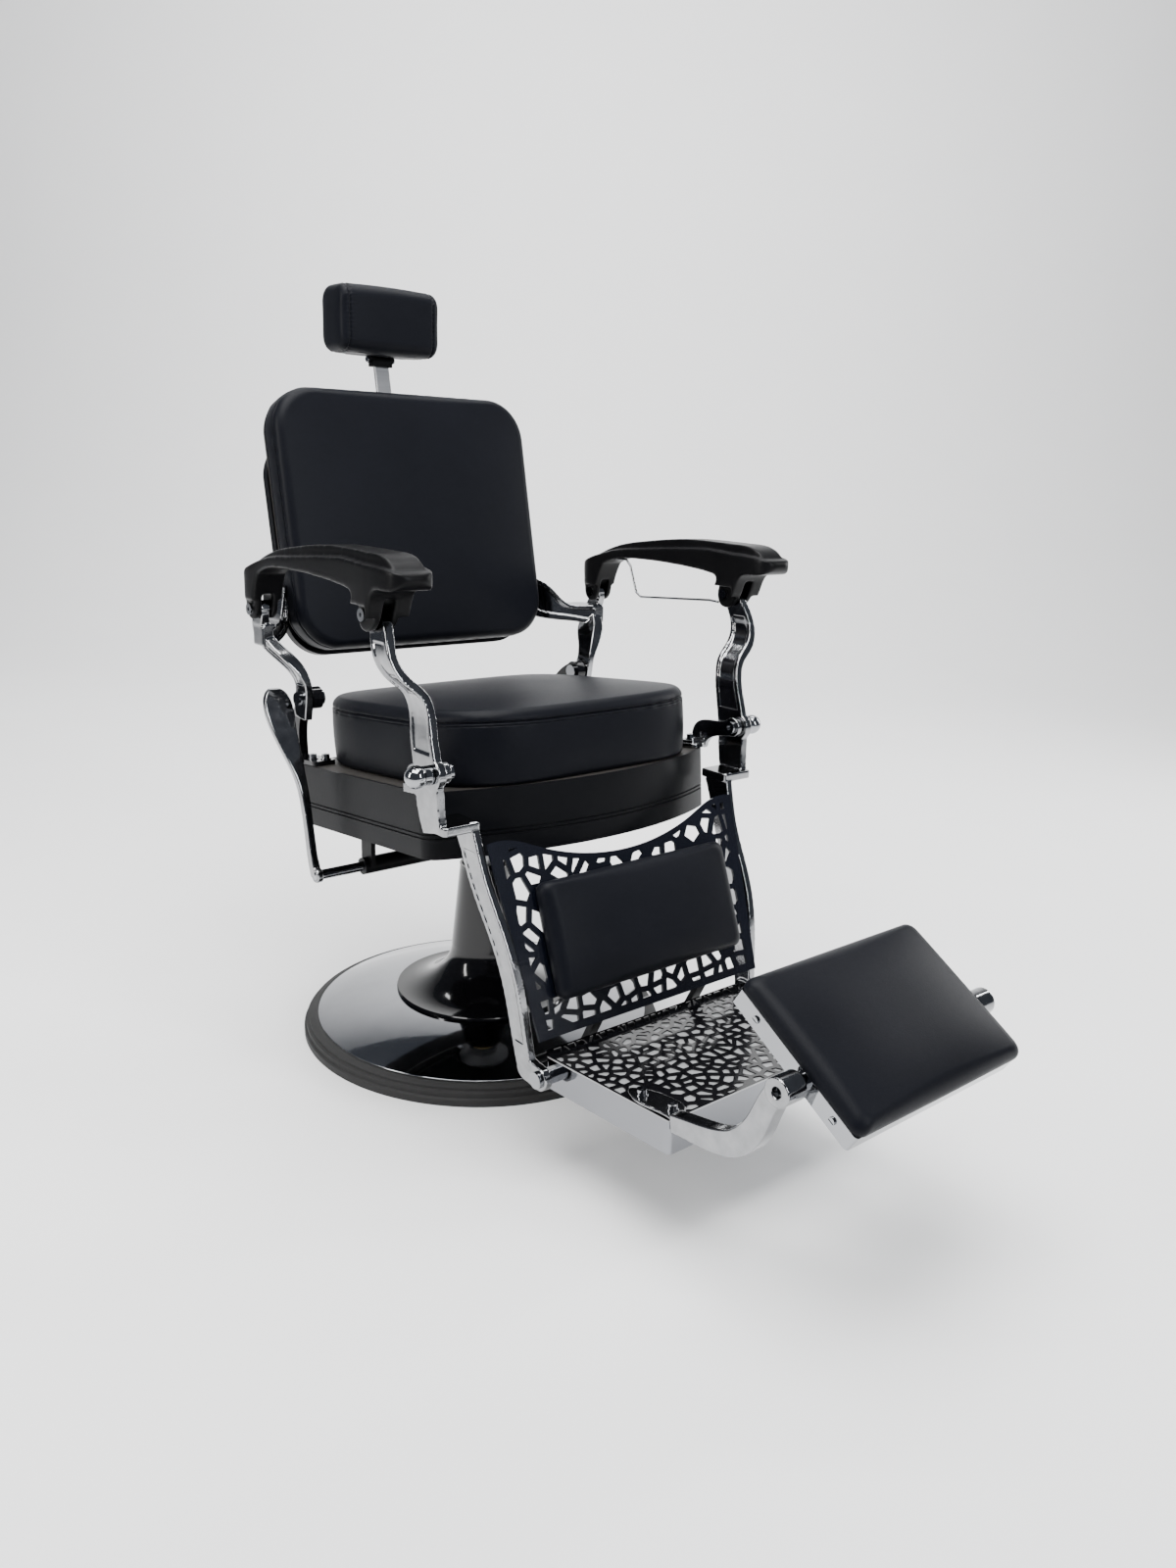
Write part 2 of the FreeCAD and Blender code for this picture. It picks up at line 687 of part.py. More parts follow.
def make_leg_posts():
    hub_y = size("front_hub_y")
    hub_z = size("front_hub_z")
    thick = size("post_thickness")
    hub_x = size("pan_half_width + post_gap") + thick / 2
    arm_x = size("arm_centre")
    arm_y = size("front_arm_y")
    arm_z = size("front_arm_z")
    hinge_y = size("foot_hinge_y")
    hinge_z = size("foot_hinge_z")

    side = [
        (arm_y, arm_z + 2, 26), (arm_y - 16, arm_z - 22, 38), (arm_y - 29, arm_z - 57, 44),
        (hub_y + 34, hub_z + 96, 48), (hub_y + 26, hub_z + 48, 52), (hub_y + 15, hub_z, 56),
        (hub_y + 11, hub_z - 42, 54), (hub_y + 2, hub_z - 84, 46),
    ]
    front = [
        (arm_x, arm_z + 14, 14), (arm_x + 1, arm_z - 22, 14), (arm_x + 3, arm_z - 54, thick),
        (arm_x - 12, arm_z - 82, thick), (hub_x + 6, hub_z + 103, thick), (hub_x, hub_z + 84, thick),
        (hub_x, hub_z + 44, thick), (hub_x, hub_z, thick), (hub_x - 1, hub_z - 40, thick),
        (hub_x - 4, hub_z - 90, thick),
    ]
    upper = prism(strip(side, "x"), "x", 200, 400).common(prism(strip(front, "y"), "y", -420, -150))
    panel = prism(strip([(y, z, width - 15) for y, z, width in side], "x"), "x", 200, 400)
    panel = panel.common(box((200, -420, hub_z + 27), (400, -150, arm_z - 34)))
    for way in (-1, 1):
        skin = [(x + way * width / 2, z, 4) for x, z, width in front]
        upper = upper.cut(panel.common(prism(strip(skin, "y"), "y", -420, -150)))
    ears = rod(28, arm_x - 40, arm_x - 8, arm_y, arm_z).fuse(rod(28, arm_x + 8, arm_x + 40, arm_y, arm_z))
    upper = upper.cut(ears)
    eye = rod(13, arm_x - 8, arm_x + 8, arm_y, arm_z)
    boss = rod(22, hub_x - thick / 2, hub_x + thick / 2, hub_y, hub_z)

    top_x = leg_x(hub_z - 72)
    shelf_top = hub_z - 69
    shelf = rounded_block((top_x - 10, hub_y - 30, shelf_top - 13), (hub_x + 3, hub_y + 27, shelf_top), 6)

    lower_side = [
        (hub_y - 4, hub_z - 76, 48), (hub_y - 18, hub_z - 112, 42), (hub_y - 34, hub_z - 154, 40),
        (hub_y - 68, hub_z - 216, 38), (hinge_y + 58, hinge_z + 129, 37), (hinge_y + 44, hinge_z + 59, 35),
        (hinge_y + 35, hinge_z + 8, 33),
    ]
    heights = [hinge_z - 30, hinge_z + 60, hinge_z + 160, hub_z - 150, hub_z - 60]
    lower_front = [(leg_x(z), z, thick) for z in heights]
    lower = prism(strip(lower_side, "x"), "x", 150, 400)
    lower = lower.common(prism(strip(lower_front, "y"), "y", -520, -150))
    channel = prism(strip([(y, z, width - 14) for y, z, width in lower_side], "x"), "x", 150, 400)
    skin = [(x + thick / 2, z, 4) for x, z, _ in lower_front]
    channel = channel.common(prism(strip(skin, "y"), "y", -520, -150))
    lower = lower.cut(channel.common(box((150, -520, hinge_z + 40), (400, -150, hub_z - 110))))
    foot_x = leg_x(hinge_z)
    foot = link(hinge_y + 33, hinge_z + 3, hinge_y, hinge_z, 17, foot_x - thick / 2, foot_x + thick / 2)

    post = upper.fuse([eye, boss, shelf, lower, foot])
    post = post.cut(rod(size("hub_pin_radius + running_clearance"), 200, 400, hub_y, hub_z))
    post = post.cut(rod(size("arm_pin_radius + linkage_clearance"), 300, 400, arm_y, arm_z))
    post = post.cut(rod(size("foot_pin_radius"), 150, 300, hinge_y, hinge_z))
    both_sides("leg_post", post)

    bar = rod(size("foot_pin_radius"), -foot_x - thick / 2, foot_x + thick / 2, hinge_y, hinge_z)
    heads = []
    for way in (-1, 1):
        start = foot_x + thick / 2
        near, away = sorted((way * start, way * (start + 6)))
        head = rod(12, near, away, hinge_y, hinge_z)
        heads.append(head)
    feature("foot_hinge_rod", bar.fuse(heads))


def panel_placement():
    return tilted(0, size("panel_y"), size("panel_z"), -size("panel_lean"))


def make_leg_panel():
    low = -size("panel_bottom")
    lean = math.radians(size("panel_lean"))
    bottom_half = leg_x(size("panel_z") + low * math.cos(lean)) - size("post_thickness") / 2 - 1.5
    rise = size("panel_shoulder")
    top_half = leg_x(size("panel_z") + rise * math.cos(lean)) - size("post_thickness") / 2 - 1.5
    crest = [(0, 20), (50, 23), (100, 32), (150, 48), (190, rise - 3), (top_half, rise)]
    high_points = [V(-x, 0, z) for x, z in crest[:0:-1]] + [V(x, 0, z) for x, z in crest]
    corners = [V(-top_half, 0, rise), V(-bottom_half, 0, low), V(bottom_half, 0, low), V(top_half, 0, rise)]
    outline = Part.Wire([spline(high_points), *Part.makePolygon(corners).Edges])

    def height_at(x):
        """Height of the top edge at a distance across."""
        for (near_x, near_z), (far_x, far_z) in zip(crest, crest[1:]):
            if abs(x) <= far_x:
                return near_z + (far_z - near_z) * (abs(x) - near_x) / (far_x - near_x)
        return rise

    margin = 12
    pad_half = size("calf_half_width") - 5
    pad_low = -size("calf_height") + 5

    def limits(x, z):
        reach = bottom_half + (top_half - bottom_half) * (z - low) / (rise - low) - margin - 6
        slope = (height_at(x + 5) - height_at(x - 5)) / 10
        way = math.copysign(1, x)
        edges = [
            ((0, low + margin), (0, -1)),
            ((x, height_at(x) - margin + 3), (-slope, 1)),
            ((way * reach, z), (way, 0)),
        ]
        if z > 0:
            return edges + [((0, 0), (0, -1))]
        if z < pad_low:
            return edges + [((0, pad_low), (0, 1))]
        if abs(x) > pad_half:
            return edges + [((way * pad_half, 0), (-way, 0))]
        return None

    cells = shard_cells(top_half, low, rise, size("panel_cell"), size("web"), limits, 4)
    half = size("panel_thickness") / 2
    sheet_face = pierced(outline, cells, "y")
    sheet_face.translate(V(0, -half, 0))
    panel = sheet_face.extrude(V(0, 2 * half, 0))
    feature("leg_panel", panel, panel_placement())

    tie_y = size("foot_hinge_y") + 46
    tie_z = size("foot_hinge_z")
    tie_x = leg_x(tie_z) - size("post_thickness") / 2
    behind_panel = box((-300, -40, low), (300, half, 80))
    behind_panel.Placement = panel_placement()
    tie = rod(6, -tie_x, tie_x, tie_y, tie_z)
    for x in (-105, 105):
        y_one = size("panel_y") - size("panel_bottom - 6") * math.sin(lean) + 5
        z_one = size("panel_z") - size("panel_bottom - 6") * math.cos(lean)
        tie = tie.fuse(link(y_one, z_one, tie_y, tie_z, 4.5, x - 9, x + 9).cut(behind_panel))
    feature("leg_cross_tie", tie)

    pad_front = -half - 4 - size("calf_thickness")
    backing = box((-pad_half, -half - 4, pad_low), (pad_half, -half, -5))
    feature("calf_board", backing, panel_placement())
    pad = box((-size("calf_half_width"), pad_front, -size("calf_height")),
              (size("calf_half_width"), -half - 4, 0))
    edges = [edge for edge in pad.Edges if edge.BoundBox.YMax < -half - 5]
    feature("calf_pad", pad.makeFillet(7, edges), panel_placement())


# ---- footplate ---------------------------------------------------------------------------

def plate_placement():
    return tilted(0, size("plate_rear_y"), size("plate_rear_z"), -size("plate_lean"))


def in_plate(shape):
    moved = shape.copy()
    moved.Placement = plate_placement().multiply(moved.Placement)
    return moved


def make_footplate():
    half = size("plate_half_width")
    length = size("plate_length")
    depth = size("plate_depth")
    wall = size("tray_wall")
    hinge_y = size("foot_hinge_y")
    hinge_z = size("foot_hinge_z")
    frame = rounded_block((-half, -length, -depth), (half, 0, 0), 6)
    inside = box((-half + wall, -length + wall, -depth - 1), (half - wall, 1, 1))
    floor = box((-half + wall, -length + wall, -5.5), (half - wall, -8, -3.2))
    tray = in_plate(frame.cut(inside).fuse(floor))
    barrel = size("barrel_radius")
    for way in (-1, 1):
        low = min(way * (half - wall), way * (half + size("barrel_width")))
        high = max(way * (half - wall), way * (half + size("barrel_width")))
        tray = tray.fuse(rod(barrel, low, high, hinge_y, hinge_z))
    tray = tray.cut(rod(size("foot_pin_radius + running_clearance"), -half - 40, half + 40, hinge_y, hinge_z))
    feature("foot_tray", tray.removeSplitter())

    edge = half - wall - size("face_clearance")
    front = -length + wall + size("face_clearance")

    def limits(x, y):
        if abs(x) > edge - 52 and y < front + 92:
            return None
        return [
            ((edge - 5, 0), (1, 0)), ((5 - edge, 0), (-1, 0)), ((0, front + 5), (0, -1)), ((0, -11), (0, 1))]

    cells = shard_cells(edge, front, -4, size("tread_cell"), size("tread_web"), limits, 11)
    outline = Part.makePolygon([
        V(-edge, front, 0), V(edge, front, 0), V(edge, -6, 0), V(-edge, -6, 0), V(-edge, front, 0)])
    tread = pierced(outline, cells, "z").extrude(V(0, 0, 2))
    tread.translate(V(0, 0, -3))

    def lip_limits(x, z):
        return [((edge - 4, 0), (1, 0)), ((4 - edge, 0), (-1, 0)), ((0, 3), (0, -1)), ((0, 12), (0, 1))]

    lip_cells = shard_cells(edge, 0, 14, 14, 3.5, lip_limits, 5)
    lip_outline = Part.makePolygon([
        V(-edge, 0, 0), V(edge, 0, 0), V(edge, 0, 14), V(-edge, 0, 14), V(-edge, 0, 0)])
    lip = pierced(lip_outline, lip_cells, "y").extrude(V(0, 2, 0))
    lip.Placement = tilted(0, -7, -2, -48)
    feature("foot_grille", tread.fuse(lip), plate_placement())

    pucks = []
    for x in (-half + 26, half - 26):
        for y in (-length + 24, -length / 2):
            puck = Part.makeCone(12, 14, 13, V(x, y, -depth - 8))
            lug = box((min(x, math.copysign(half - wall, x)), y - 12, -depth + 5),
                      (max(x, math.copysign(half - wall, x)), y + 12, -depth + 9))
            pucks.append(in_plate(puck.fuse(lug)))
    feature("foot_bumpers", Part.makeCompound(pucks))

    flip_y = size("flip_y")
    flip_z = size("flip_z")
    thick = size("pad_arm_thickness")
    outer = half
    inner = half - thick
    front_y = size("plate_rear_y") - length * math.cos(math.radians(size("plate_lean")))
    front_z = size("plate_rear_z") + length * math.sin(math.radians(size("plate_lean")))
    curve = strip([
        (front_y - 1.5, front_z - 1, 24), (front_y - 40, front_z + 5, 28), (front_y - 82, front_z + 13, 32),
        (front_y - 112, front_z + 27, 33), (flip_y + 33, flip_z - 62, 31), (flip_y + 20, flip_z - 30, 28),
        (flip_y + 6, flip_z - 4, 27),
    ], "x")
    arm = prism(curve, "x", inner, outer)
    arm = arm.fuse(rod(size("flip_hub_radius"), inner - 6, outer + 5, flip_y, flip_z))
    leaf = smooth_outline([
        (outer - 3, -length - 1), (outer - 4, -length + 40), (outer - 9, -length + 84),
        (outer - 20, -length + 96), (outer - 32, -length + 84), (outer - 44, -length + 40),
        (outer - 26, -length - 1),
    ], "z").extrude(V(0, 0, 5))
    arm = arm.fuse([in_plate(leaf), in_plate(box((inner, -length - 6, -9), (outer - 3, -length - 0.2, 4)))])
    arm = arm.cut(rod(size("flip_shaft_radius + running_clearance"), 0, outer - 6, flip_y, flip_z))
    arm = arm.cut(rod(7, 0, 400, flip_y, flip_z))
    arm = arm.cut(in_plate(box((-half, -length, -depth), (half, 0, 0))))
    both_sides("pad_arm", arm)

    bolts = []
    for x, y in ((outer - 20, -length + 72), (outer - 23, -length + 18)):
        head = Part.makeCylinder(9, 1.5, V(x, y, 5)).fuse(Part.makeCylinder(7, 6, V(x, y, 6.5)))
        bolt = in_plate(head.cut(Part.makeCylinder(3, 4, V(x, y, 9))))
        bolts += [bolt, mirrored(bolt)]
    feature("pad_arm_bolts", Part.makeCompound(bolts))


def flip_placement():
    return tilted(0, size("flip_y"), size("flip_z"), size("flip_lean"))


def make_flip_pad():
    half = size("flip_half_width")
    rear = size("flip_rear")
    front = -size("flip_front")
    wall = size("flip_wall")
    tray = box((-half, front, -12), (half, rear, 12))
    tray = tray.cut(box((-half + wall, front + wall, -9), (half - wall, rear - wall, 20)))
    upright = [edge for edge in tray.Edges
               if edge.BoundBox.ZLength > 23 and abs(abs(edge.CenterOfMass.x) - half) < 1]
    tray = tray.makeFillet(6, upright)
    tray = tray.cut(rod(size("flip_shaft_radius"), -half - 5, half + 5, 0, 0))
    feature("flip_tray", tray, flip_placement())

    shafts = []
    end = size("plate_half_width") - 7
    for way in (-1, 1):
        ends = sorted((way * (half - 30), way * end))
        collar = sorted((way * (half + 0.2), way * (half + 6)))
        shafts.append(rod(size("flip_shaft_radius"), ends[0], ends[1], 0, 0).fuse(
            rod(11.5, collar[0], collar[1], 0, 0)))
    feature("flip_shafts", Part.makeCompound(shafts), flip_placement())

    screws = []
    for y in (front + 33, rear - 40):
        for way in (-1, 1):
            ends = sorted((way * half, way * (half + 2.5)))
            slot = sorted((way * (half + 1.5), way * (half + 3)))
            groove = box((slot[0], y - 4, -0.7), (slot[1], y + 4, 0.7))
            screws.append(rod(5, ends[0], ends[1], y, 0).cut(groove))
    feature("flip_screws", Part.makeCompound(screws), flip_placement())

    board = rounded_block(
        (-half + wall + 0.3, front + wall + 0.3, 6), (half - wall - 0.3, rear - wall - 0.3, 12), 5)
    shaft_room = rod(size("flip_shaft_radius") + 0.3, -half, half, 0, 0)
    feature("flip_board", board.cut(shaft_room), flip_placement())
    pad = rounded_block((-half - 1, front - 1, 12), (half + 1, rear + 1, 12 + size("flip_pad")), 12)
    top = [edge for edge in pad.Edges if edge.BoundBox.ZMin > 11 + size("flip_pad")]
    feature("flip_cushion", pad.makeFillet(8, top), flip_placement())


# ---- backrest ----------------------------------------------------------------------------

def back_placement():
    return tilted(0, size("back_bottom_y"), size("back_bottom_z"), -size("back_lean"))


def back_slab(half_width, low, high, near, far, corner):
    """Rounded slab standing in the back's own frame."""
    slab = box((-half_width, near, low), (half_width, far, high))
    across = [edge for edge in slab.Edges if edge.BoundBox.YLength > (far - near) * 0.9]
    return slab.makeFillet(corner, across)


def make_back():
    half = size("back_half_width")
    foot = size("back_foot")
    height = size("back_height")
    near = -size("back_forward")
    board = near + size("back_pad")
    shell = board + size("back_board")
    rear = shell + size("back_shell")
    corner = size("back_corner")
    feature("back_cushion", back_slab(half, foot, height, near, board, corner), back_placement())
    panel = back_slab(half - 3, foot + 3, height - 3, board, shell, corner - 3)
    feature("back_board", panel, back_placement())

    depth = size("bar_depth")
    slot_x = size("bar_width / 2 + bar_clearance")
    slot_y = size("bar_thickness / 2 + bar_clearance")
    wall = size("socket_wall")
    low = size("socket_bottom")

    def sleeve(grow, bottom, top):
        low = (-slot_x - grow, depth - slot_y - grow, bottom)
        return box(low, (slot_x + grow, depth + slot_y + grow, top))

    socket = sleeve(wall, low, height + 2).fuse(sleeve(wall + 5, height, height + 2))
    feature("headrest_socket", socket.cut(sleeve(0, low - 1, height + 3)), back_placement())
    cover = back_slab(half, foot - 8, size("shell_height"), shell, rear, corner)
    feature("back_shell", cover.cut(sleeve(wall, low - 2, height)), back_placement())


def make_back_castings():
    thick = size("post_thickness")
    hub_x = size("pan_half_width") + 5 + thick / 2
    hub_y = size("rear_hub_y")
    hub_z = size("rear_hub_z")
    arm_x = size("arm_centre")
    arm_y = size("rear_arm_y")
    arm_z = size("rear_arm_z")
    side = [
        (arm_y, arm_z, 26), (arm_y + 6, arm_z - 20, 30), (arm_y + 11, arm_z - 42, 34),
        (hub_y + 28, hub_z + 82, 36), (hub_y + 5, hub_z + 56, 36), (hub_y - 4, hub_z + 26, 36),
        (hub_y, hub_z, 40), (hub_y + 2, hub_z - 32, 32),
    ]
    front = [
        (arm_x, arm_z + 14, 16), (arm_x - 1, arm_z - 28, 16), (arm_x - 14, hub_z + 84, 18),
        (hub_x + 17, hub_z + 56, 18), (hub_x + 4, hub_z + 30, thick), (hub_x, hub_z, thick),
        (hub_x, hub_z - 36, thick),
    ]
    main = prism(strip(side, "x"), "x", 200, 400).common(prism(strip(front, "y"), "y", 0, 260))
    panel = prism(strip([(y, z, width - 13) for y, z, width in side], "x"), "x", 200, 400)
    skin = [(x + width / 2, z, 4) for x, z, width in front]
    groove = panel.common(prism(strip(skin, "y"), "y", 0, 260))
    main = main.cut(groove.common(box((200, 0, hub_z + 24), (400, 260, hub_z + 84))))
    edge = size("back_half_width")
    branch_plan = polygon([
        (arm_x + 7, arm_y - 12), (arm_x + 7, arm_y + 20), (edge + 14, arm_y + 138), (edge, arm_y + 138),
        (edge, arm_y + 104), (arm_x - 18, arm_y - 8),
    ], "z")
    branch_face = smooth_outline([
        (arm_x + 10, arm_z - 36), (arm_x + 8, arm_z - 56), (arm_x - 34, arm_z - 58), (edge - 4, arm_z - 42),
        (edge - 6, arm_z + 22), (edge + 22, arm_z + 12), (edge + 56, arm_z - 27),
    ], "y")
    branch = prism(branch_plan, "z", 600, 900).common(prism(branch_face, "y", 0, 400))
    cup = smooth_outline([
        (arm_x - 10, arm_z - 40), (arm_x - 12, arm_z - 48), (arm_x - 36, arm_z - 48), (edge + 8, arm_z - 32),
        (edge + 8, arm_z + 8), (edge + 24, arm_z + 2), (edge + 54, arm_z - 33),
    ], "y")
    front_skin = polygon([
        (arm_x + 20, arm_y - 60), (arm_x - 15, arm_y - 5), (edge + 3, arm_y + 108), (edge - 60, arm_y + 108),
        (edge - 60, arm_y - 60),
    ], "z")
    hollow = prism(front_skin, "z", 600, 900).common(prism(cup, "y", 0, 400))
    branch = branch.cut(hollow)
    relief = rod(26, arm_x + 8, arm_x + 40, arm_y, arm_z).fuse(rod(22, arm_x - 40, arm_x - 8, arm_y, arm_z))
    eye = rod(13, arm_x - 8, arm_x + 8, arm_y, arm_z)
    boss = rod(20, hub_x - thick / 2, hub_x + thick / 2, hub_y, hub_z)
    casting = main.fuse([branch, eye, boss]).cut(relief)
    casting = casting.cut(rod(size("hub_pin_radius + running_clearance"), 200, 400, hub_y, hub_z))
    casting = casting.cut(rod(size("arm_pin_radius + running_clearance"), 300, 400, arm_y, arm_z))
    casting = casting.cut(box((0, 0, 0), (edge, 600, 1000)))
    both_sides("back_casting", casting)


# ---- headrest ----------------------------------------------------------------------------

def back_point(along_depth, along_height):
    """World Y and Z of a point in the back's own frame."""
    lean = math.radians(size("back_lean"))
    y = size("back_bottom_y") + along_depth * math.cos(lean) + along_height * math.sin(lean)
    z = size("back_bottom_z") - along_depth * math.sin(lean) + along_height * math.cos(lean)
    return y, z


def make_headrest():
    depth = size("bar_depth")
    width = size("bar_width") / 2
    thick = size("bar_thickness") / 2
    pivot = size("headrest_pivot")
    bar = box((-width, depth - thick, size("bar_bottom")), (width, depth + thick, pivot - 4))
    upright = [edge for edge in bar.Edges if edge.BoundBox.ZLength > 50]
    feature("headrest_bar", bar.makeFillet(1.5, upright), back_placement())

    y, z = back_point(depth, pivot)
    block = box((-19, y - 10, z - 12), (19, y + 8, z - 2)).fuse(rod(5.5, -19, 19, y, z))
    channel = box((-width, depth - thick, 0), (width, depth + thick, pivot - 4))
    channel.Placement = back_placement()
    block = block.cut(channel).cut(rod(3, -30, 30, y, z))
    feature("headrest_block", block)
    feature("headrest_pin", rod(3, -27, 27, y, z).fuse([rod(5, 24.8, 27, y, z), rod(5, -27, -24.8, y, z)]))

    plate = rounded_block((-60, y - 30, z + 6), (60, y + 22, z + 8), 8)
    lugs = []
    for way in (-1, 1):
        low, high = sorted((way * 19.4, way * 24.4))
        lug = box((low, y - 6, z), (high, y + 6, z + 6)).fuse(rod(6, low, high, y, z))
        lugs.append(lug.cut(rod(3.05, low - 1, high + 1, y, z)))
    feature("headrest_plate", plate.fuse(lugs))

    half = size("headrest_half_width")
    deep = size("headrest_depth")
    pad = box((-half, y - 45, z + 8), (half, y - 45 + deep, z + 8 + size("headrest_height")))
    ends = [edge for edge in pad.Edges if edge.BoundBox.XLength > half]
    feature("headrest_cushion", pad.makeFillet(16, ends))


# ---- armrests ----------------------------------------------------------------------------

def make_armrests():
    x = size("arm_centre")
    front_y = size("front_arm_y")
    front_z = size("front_arm_z")
    rear_y = size("rear_arm_y")
    rear_z = size("rear_arm_z")
    heel_top = (rear_y + 28, rear_z + 54)
    crest = [
        (rear_y + 14, rear_z + 52), (rear_y - 20, rear_z + 73), (rear_y - 82, rear_z + 94),
        (rear_y - 146, rear_z + 104),
        (front_y + 142, front_z + 81), (front_y + 84, front_z + 85), (front_y + 30, front_z + 85),
        (front_y - 20, front_z + 84), (front_y - 66, front_z + 79), (front_y - 92, front_z + 60)]
    crest_root = [
        crest[-1], (front_y - 60, front_z + 52), (front_y + 142, front_z + 53), (rear_y - 112, rear_z + 80),
        (rear_y - 62, rear_z + 74), (rear_y - 30, rear_z + 60), crest[0]]
    band = [
        heel_top, (rear_y - 20, rear_z + 71), (rear_y - 82, rear_z + 85), (rear_y - 146, rear_z + 91),
        (front_y + 142, front_z + 66), (front_y + 84, front_z + 70), (front_y + 30, front_z + 72),
        (front_y - 20, front_z + 69), (front_y - 68, front_z + 67), (front_y - 100, front_z + 62)]
    nose = [
        (front_y - 105, front_z + 52), (front_y - 98, front_z + 43), (front_y - 74, front_z + 38),
        (front_y - 50, front_z + 35), (front_y - 41, front_z + 24), (front_y - 34, front_z + 6),
        (front_y - 22, front_z - 14), (front_y - 6, front_z - 22), (front_y + 8, front_z - 18),
        (front_y + 15, front_z - 4), (front_y + 14, front_z + 10), (front_y + 8, front_z + 24),
        (front_y + 18, front_z + 33)]
    arch = [
        nose[-1], (front_y + 54, front_z + 37), (front_y + 100, front_z + 40), (front_y + 158, front_z + 42),
        (rear_y - 112, rear_z + 71), (rear_y - 62, rear_z + 65), (rear_y - 38, rear_z + 56)]
    heel = [
        arch[-1], (rear_y - 28, rear_z + 38), (rear_y - 20, rear_z + 14), (rear_y - 14, rear_z - 8),
        (rear_y, rear_z - 16), (rear_y + 13, rear_z - 9), (rear_y + 18, rear_z + 8),
        (rear_y + 21, rear_z + 32), (rear_y + 29, rear_z + 46), heel_top]

    def side_face(*runs):
        return Part.Face(Part.Wire([spline([to_plane(y, z, "x") for y, z in points]) for points in runs]))

    def plan_face(inset):
        """Outline from above: wider at the front, blunt at both ends."""
        half_widths = [
            (front_y - 104, 15), (front_y - 98, 26), (front_y - 70, 34), (front_y + 10, 33),
            (front_y + 110, 30), (rear_y - 110, 27), (rear_y - 20, 25), (rear_y + 16, 21), (rear_y + 27, 12)]
        near = [(x + half - inset, y) for y, half in half_widths]
        far = [(2 * x - across, y) for across, y in near[::-1]]
        return smooth_outline(near + far, "z")

    low, high = front_z - 60, front_z + 200
    arm = prism(side_face(band, [band[-1], *nose], arch, heel), "x", x - 60, x + 60)
    arm = arm.common(prism(plan_face(0), "z", low, high))
    cap = prism(side_face(crest, crest_root), "x", x - 60, x + 60)
    arm = arm.fuse(cap.common(prism(plan_face(9), "z", low, high)))
    slot = size("arm_slot") / 2
    arm = arm.cut(box((x - slot, front_y - 120, front_z - 40), (x + slot, front_y + 45, front_z + 24)))
    arm = arm.cut(box((x - slot, rear_y - 45, rear_z - 40), (x + slot, rear_y + 40, rear_z + 24)))
    for y, z in ((front_y, front_z), (rear_y, rear_z)):
        ear_faces = box((x + 19, y - 30, z - 40), (x + 60, y + 30, z + 14))
        arm = arm.cut(ear_faces).cut(mirror_about(ear_faces, x))
        arm = arm.cut(rod(size("arm_pin_radius"), x - 60, x + 60, y, z))
    both_sides("armrest", arm)

    pins = []
    for y, z in ((front_y, front_z), (rear_y, rear_z)):
        head = rod(9, x + 19, x + 23, y, z)
        tail = rod(8, x - 22, x - 19, y, z)
        pin = rod(size("arm_pin_radius"), x - 20, x + 20, y, z).fuse([head, tail])
        pins.append(pin.cut(rod(3, x + 20, x + 24, y, z)))
    both_sides("arm_pins", Part.makeCompound(pins))

    wire_x = x - 20.9
    radius = 2
    route = [
        (rear_y - 62, rear_z + 68), (rear_y - 102, rear_z + 68), (rear_y - 114, rear_z + 58),
        (rear_y - 133, rear_z + 12), (rear_y - 146, rear_z + 5), (front_y + 30, front_z - 13),
        (front_y + 9, front_z - 14)]
    bends = [V(wire_x, *point) for point in route]
    bars = [Part.makeCylinder(radius, (end - start).Length, start, end - start)
            for start, end in zip(bends, bends[1:])]
    wire = bars[0].fuse(bars[1:] + [Part.makeSphere(radius, bend) for bend in bends[1:-1]])
    feature("towel_wire", wire.cut(doc.getObject("armrest_left").Shape))


def mirror_about(shape, x):
    return shape.mirror(V(x, 0, 0), X_AXIS)


# ---- build and export --------------------------------------------------------------------

make_base()
make_lift()
make_seat()
make_seat_brackets()
make_lever()
make_leg_posts()
make_leg_panel()
make_footplate()
make_flip_pad()
make_back()
make_back_castings()
make_headrest()
make_armrests()
doc.recompute()

for label, thing in pieces:
    if "Invalid" in thing.State or "Error" in thing.State:
        raise RuntimeError(label + " did not compute")
    if thing.Shape.isNull() or not thing.Shape.isValid() or not thing.Shape.Solids:
        raise RuntimeError(label + " is not a valid solid")

os.makedirs("parts", exist_ok=True)
for label, thing in pieces:
    thing.Shape.exportStep("parts/" + label + ".step")
print(len(pieces), "sub-parts written")
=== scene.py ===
import json
import math
import bpy
import bmesh
import numpy as np
from mathutils import Matrix, Vector


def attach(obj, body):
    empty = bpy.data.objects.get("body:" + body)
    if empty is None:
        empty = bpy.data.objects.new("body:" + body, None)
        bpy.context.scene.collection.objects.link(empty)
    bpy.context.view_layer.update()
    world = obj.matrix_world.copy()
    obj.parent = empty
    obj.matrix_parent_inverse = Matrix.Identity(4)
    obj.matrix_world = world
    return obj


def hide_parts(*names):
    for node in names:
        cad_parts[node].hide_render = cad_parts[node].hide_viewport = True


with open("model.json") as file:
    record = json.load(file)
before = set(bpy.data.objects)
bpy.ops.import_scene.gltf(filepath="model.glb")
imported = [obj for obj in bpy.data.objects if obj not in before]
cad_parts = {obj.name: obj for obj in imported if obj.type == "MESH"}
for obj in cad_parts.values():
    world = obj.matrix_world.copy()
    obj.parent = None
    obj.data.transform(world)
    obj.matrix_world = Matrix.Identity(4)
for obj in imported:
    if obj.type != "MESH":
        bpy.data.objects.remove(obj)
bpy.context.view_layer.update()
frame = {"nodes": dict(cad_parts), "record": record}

nodes = frame["nodes"]
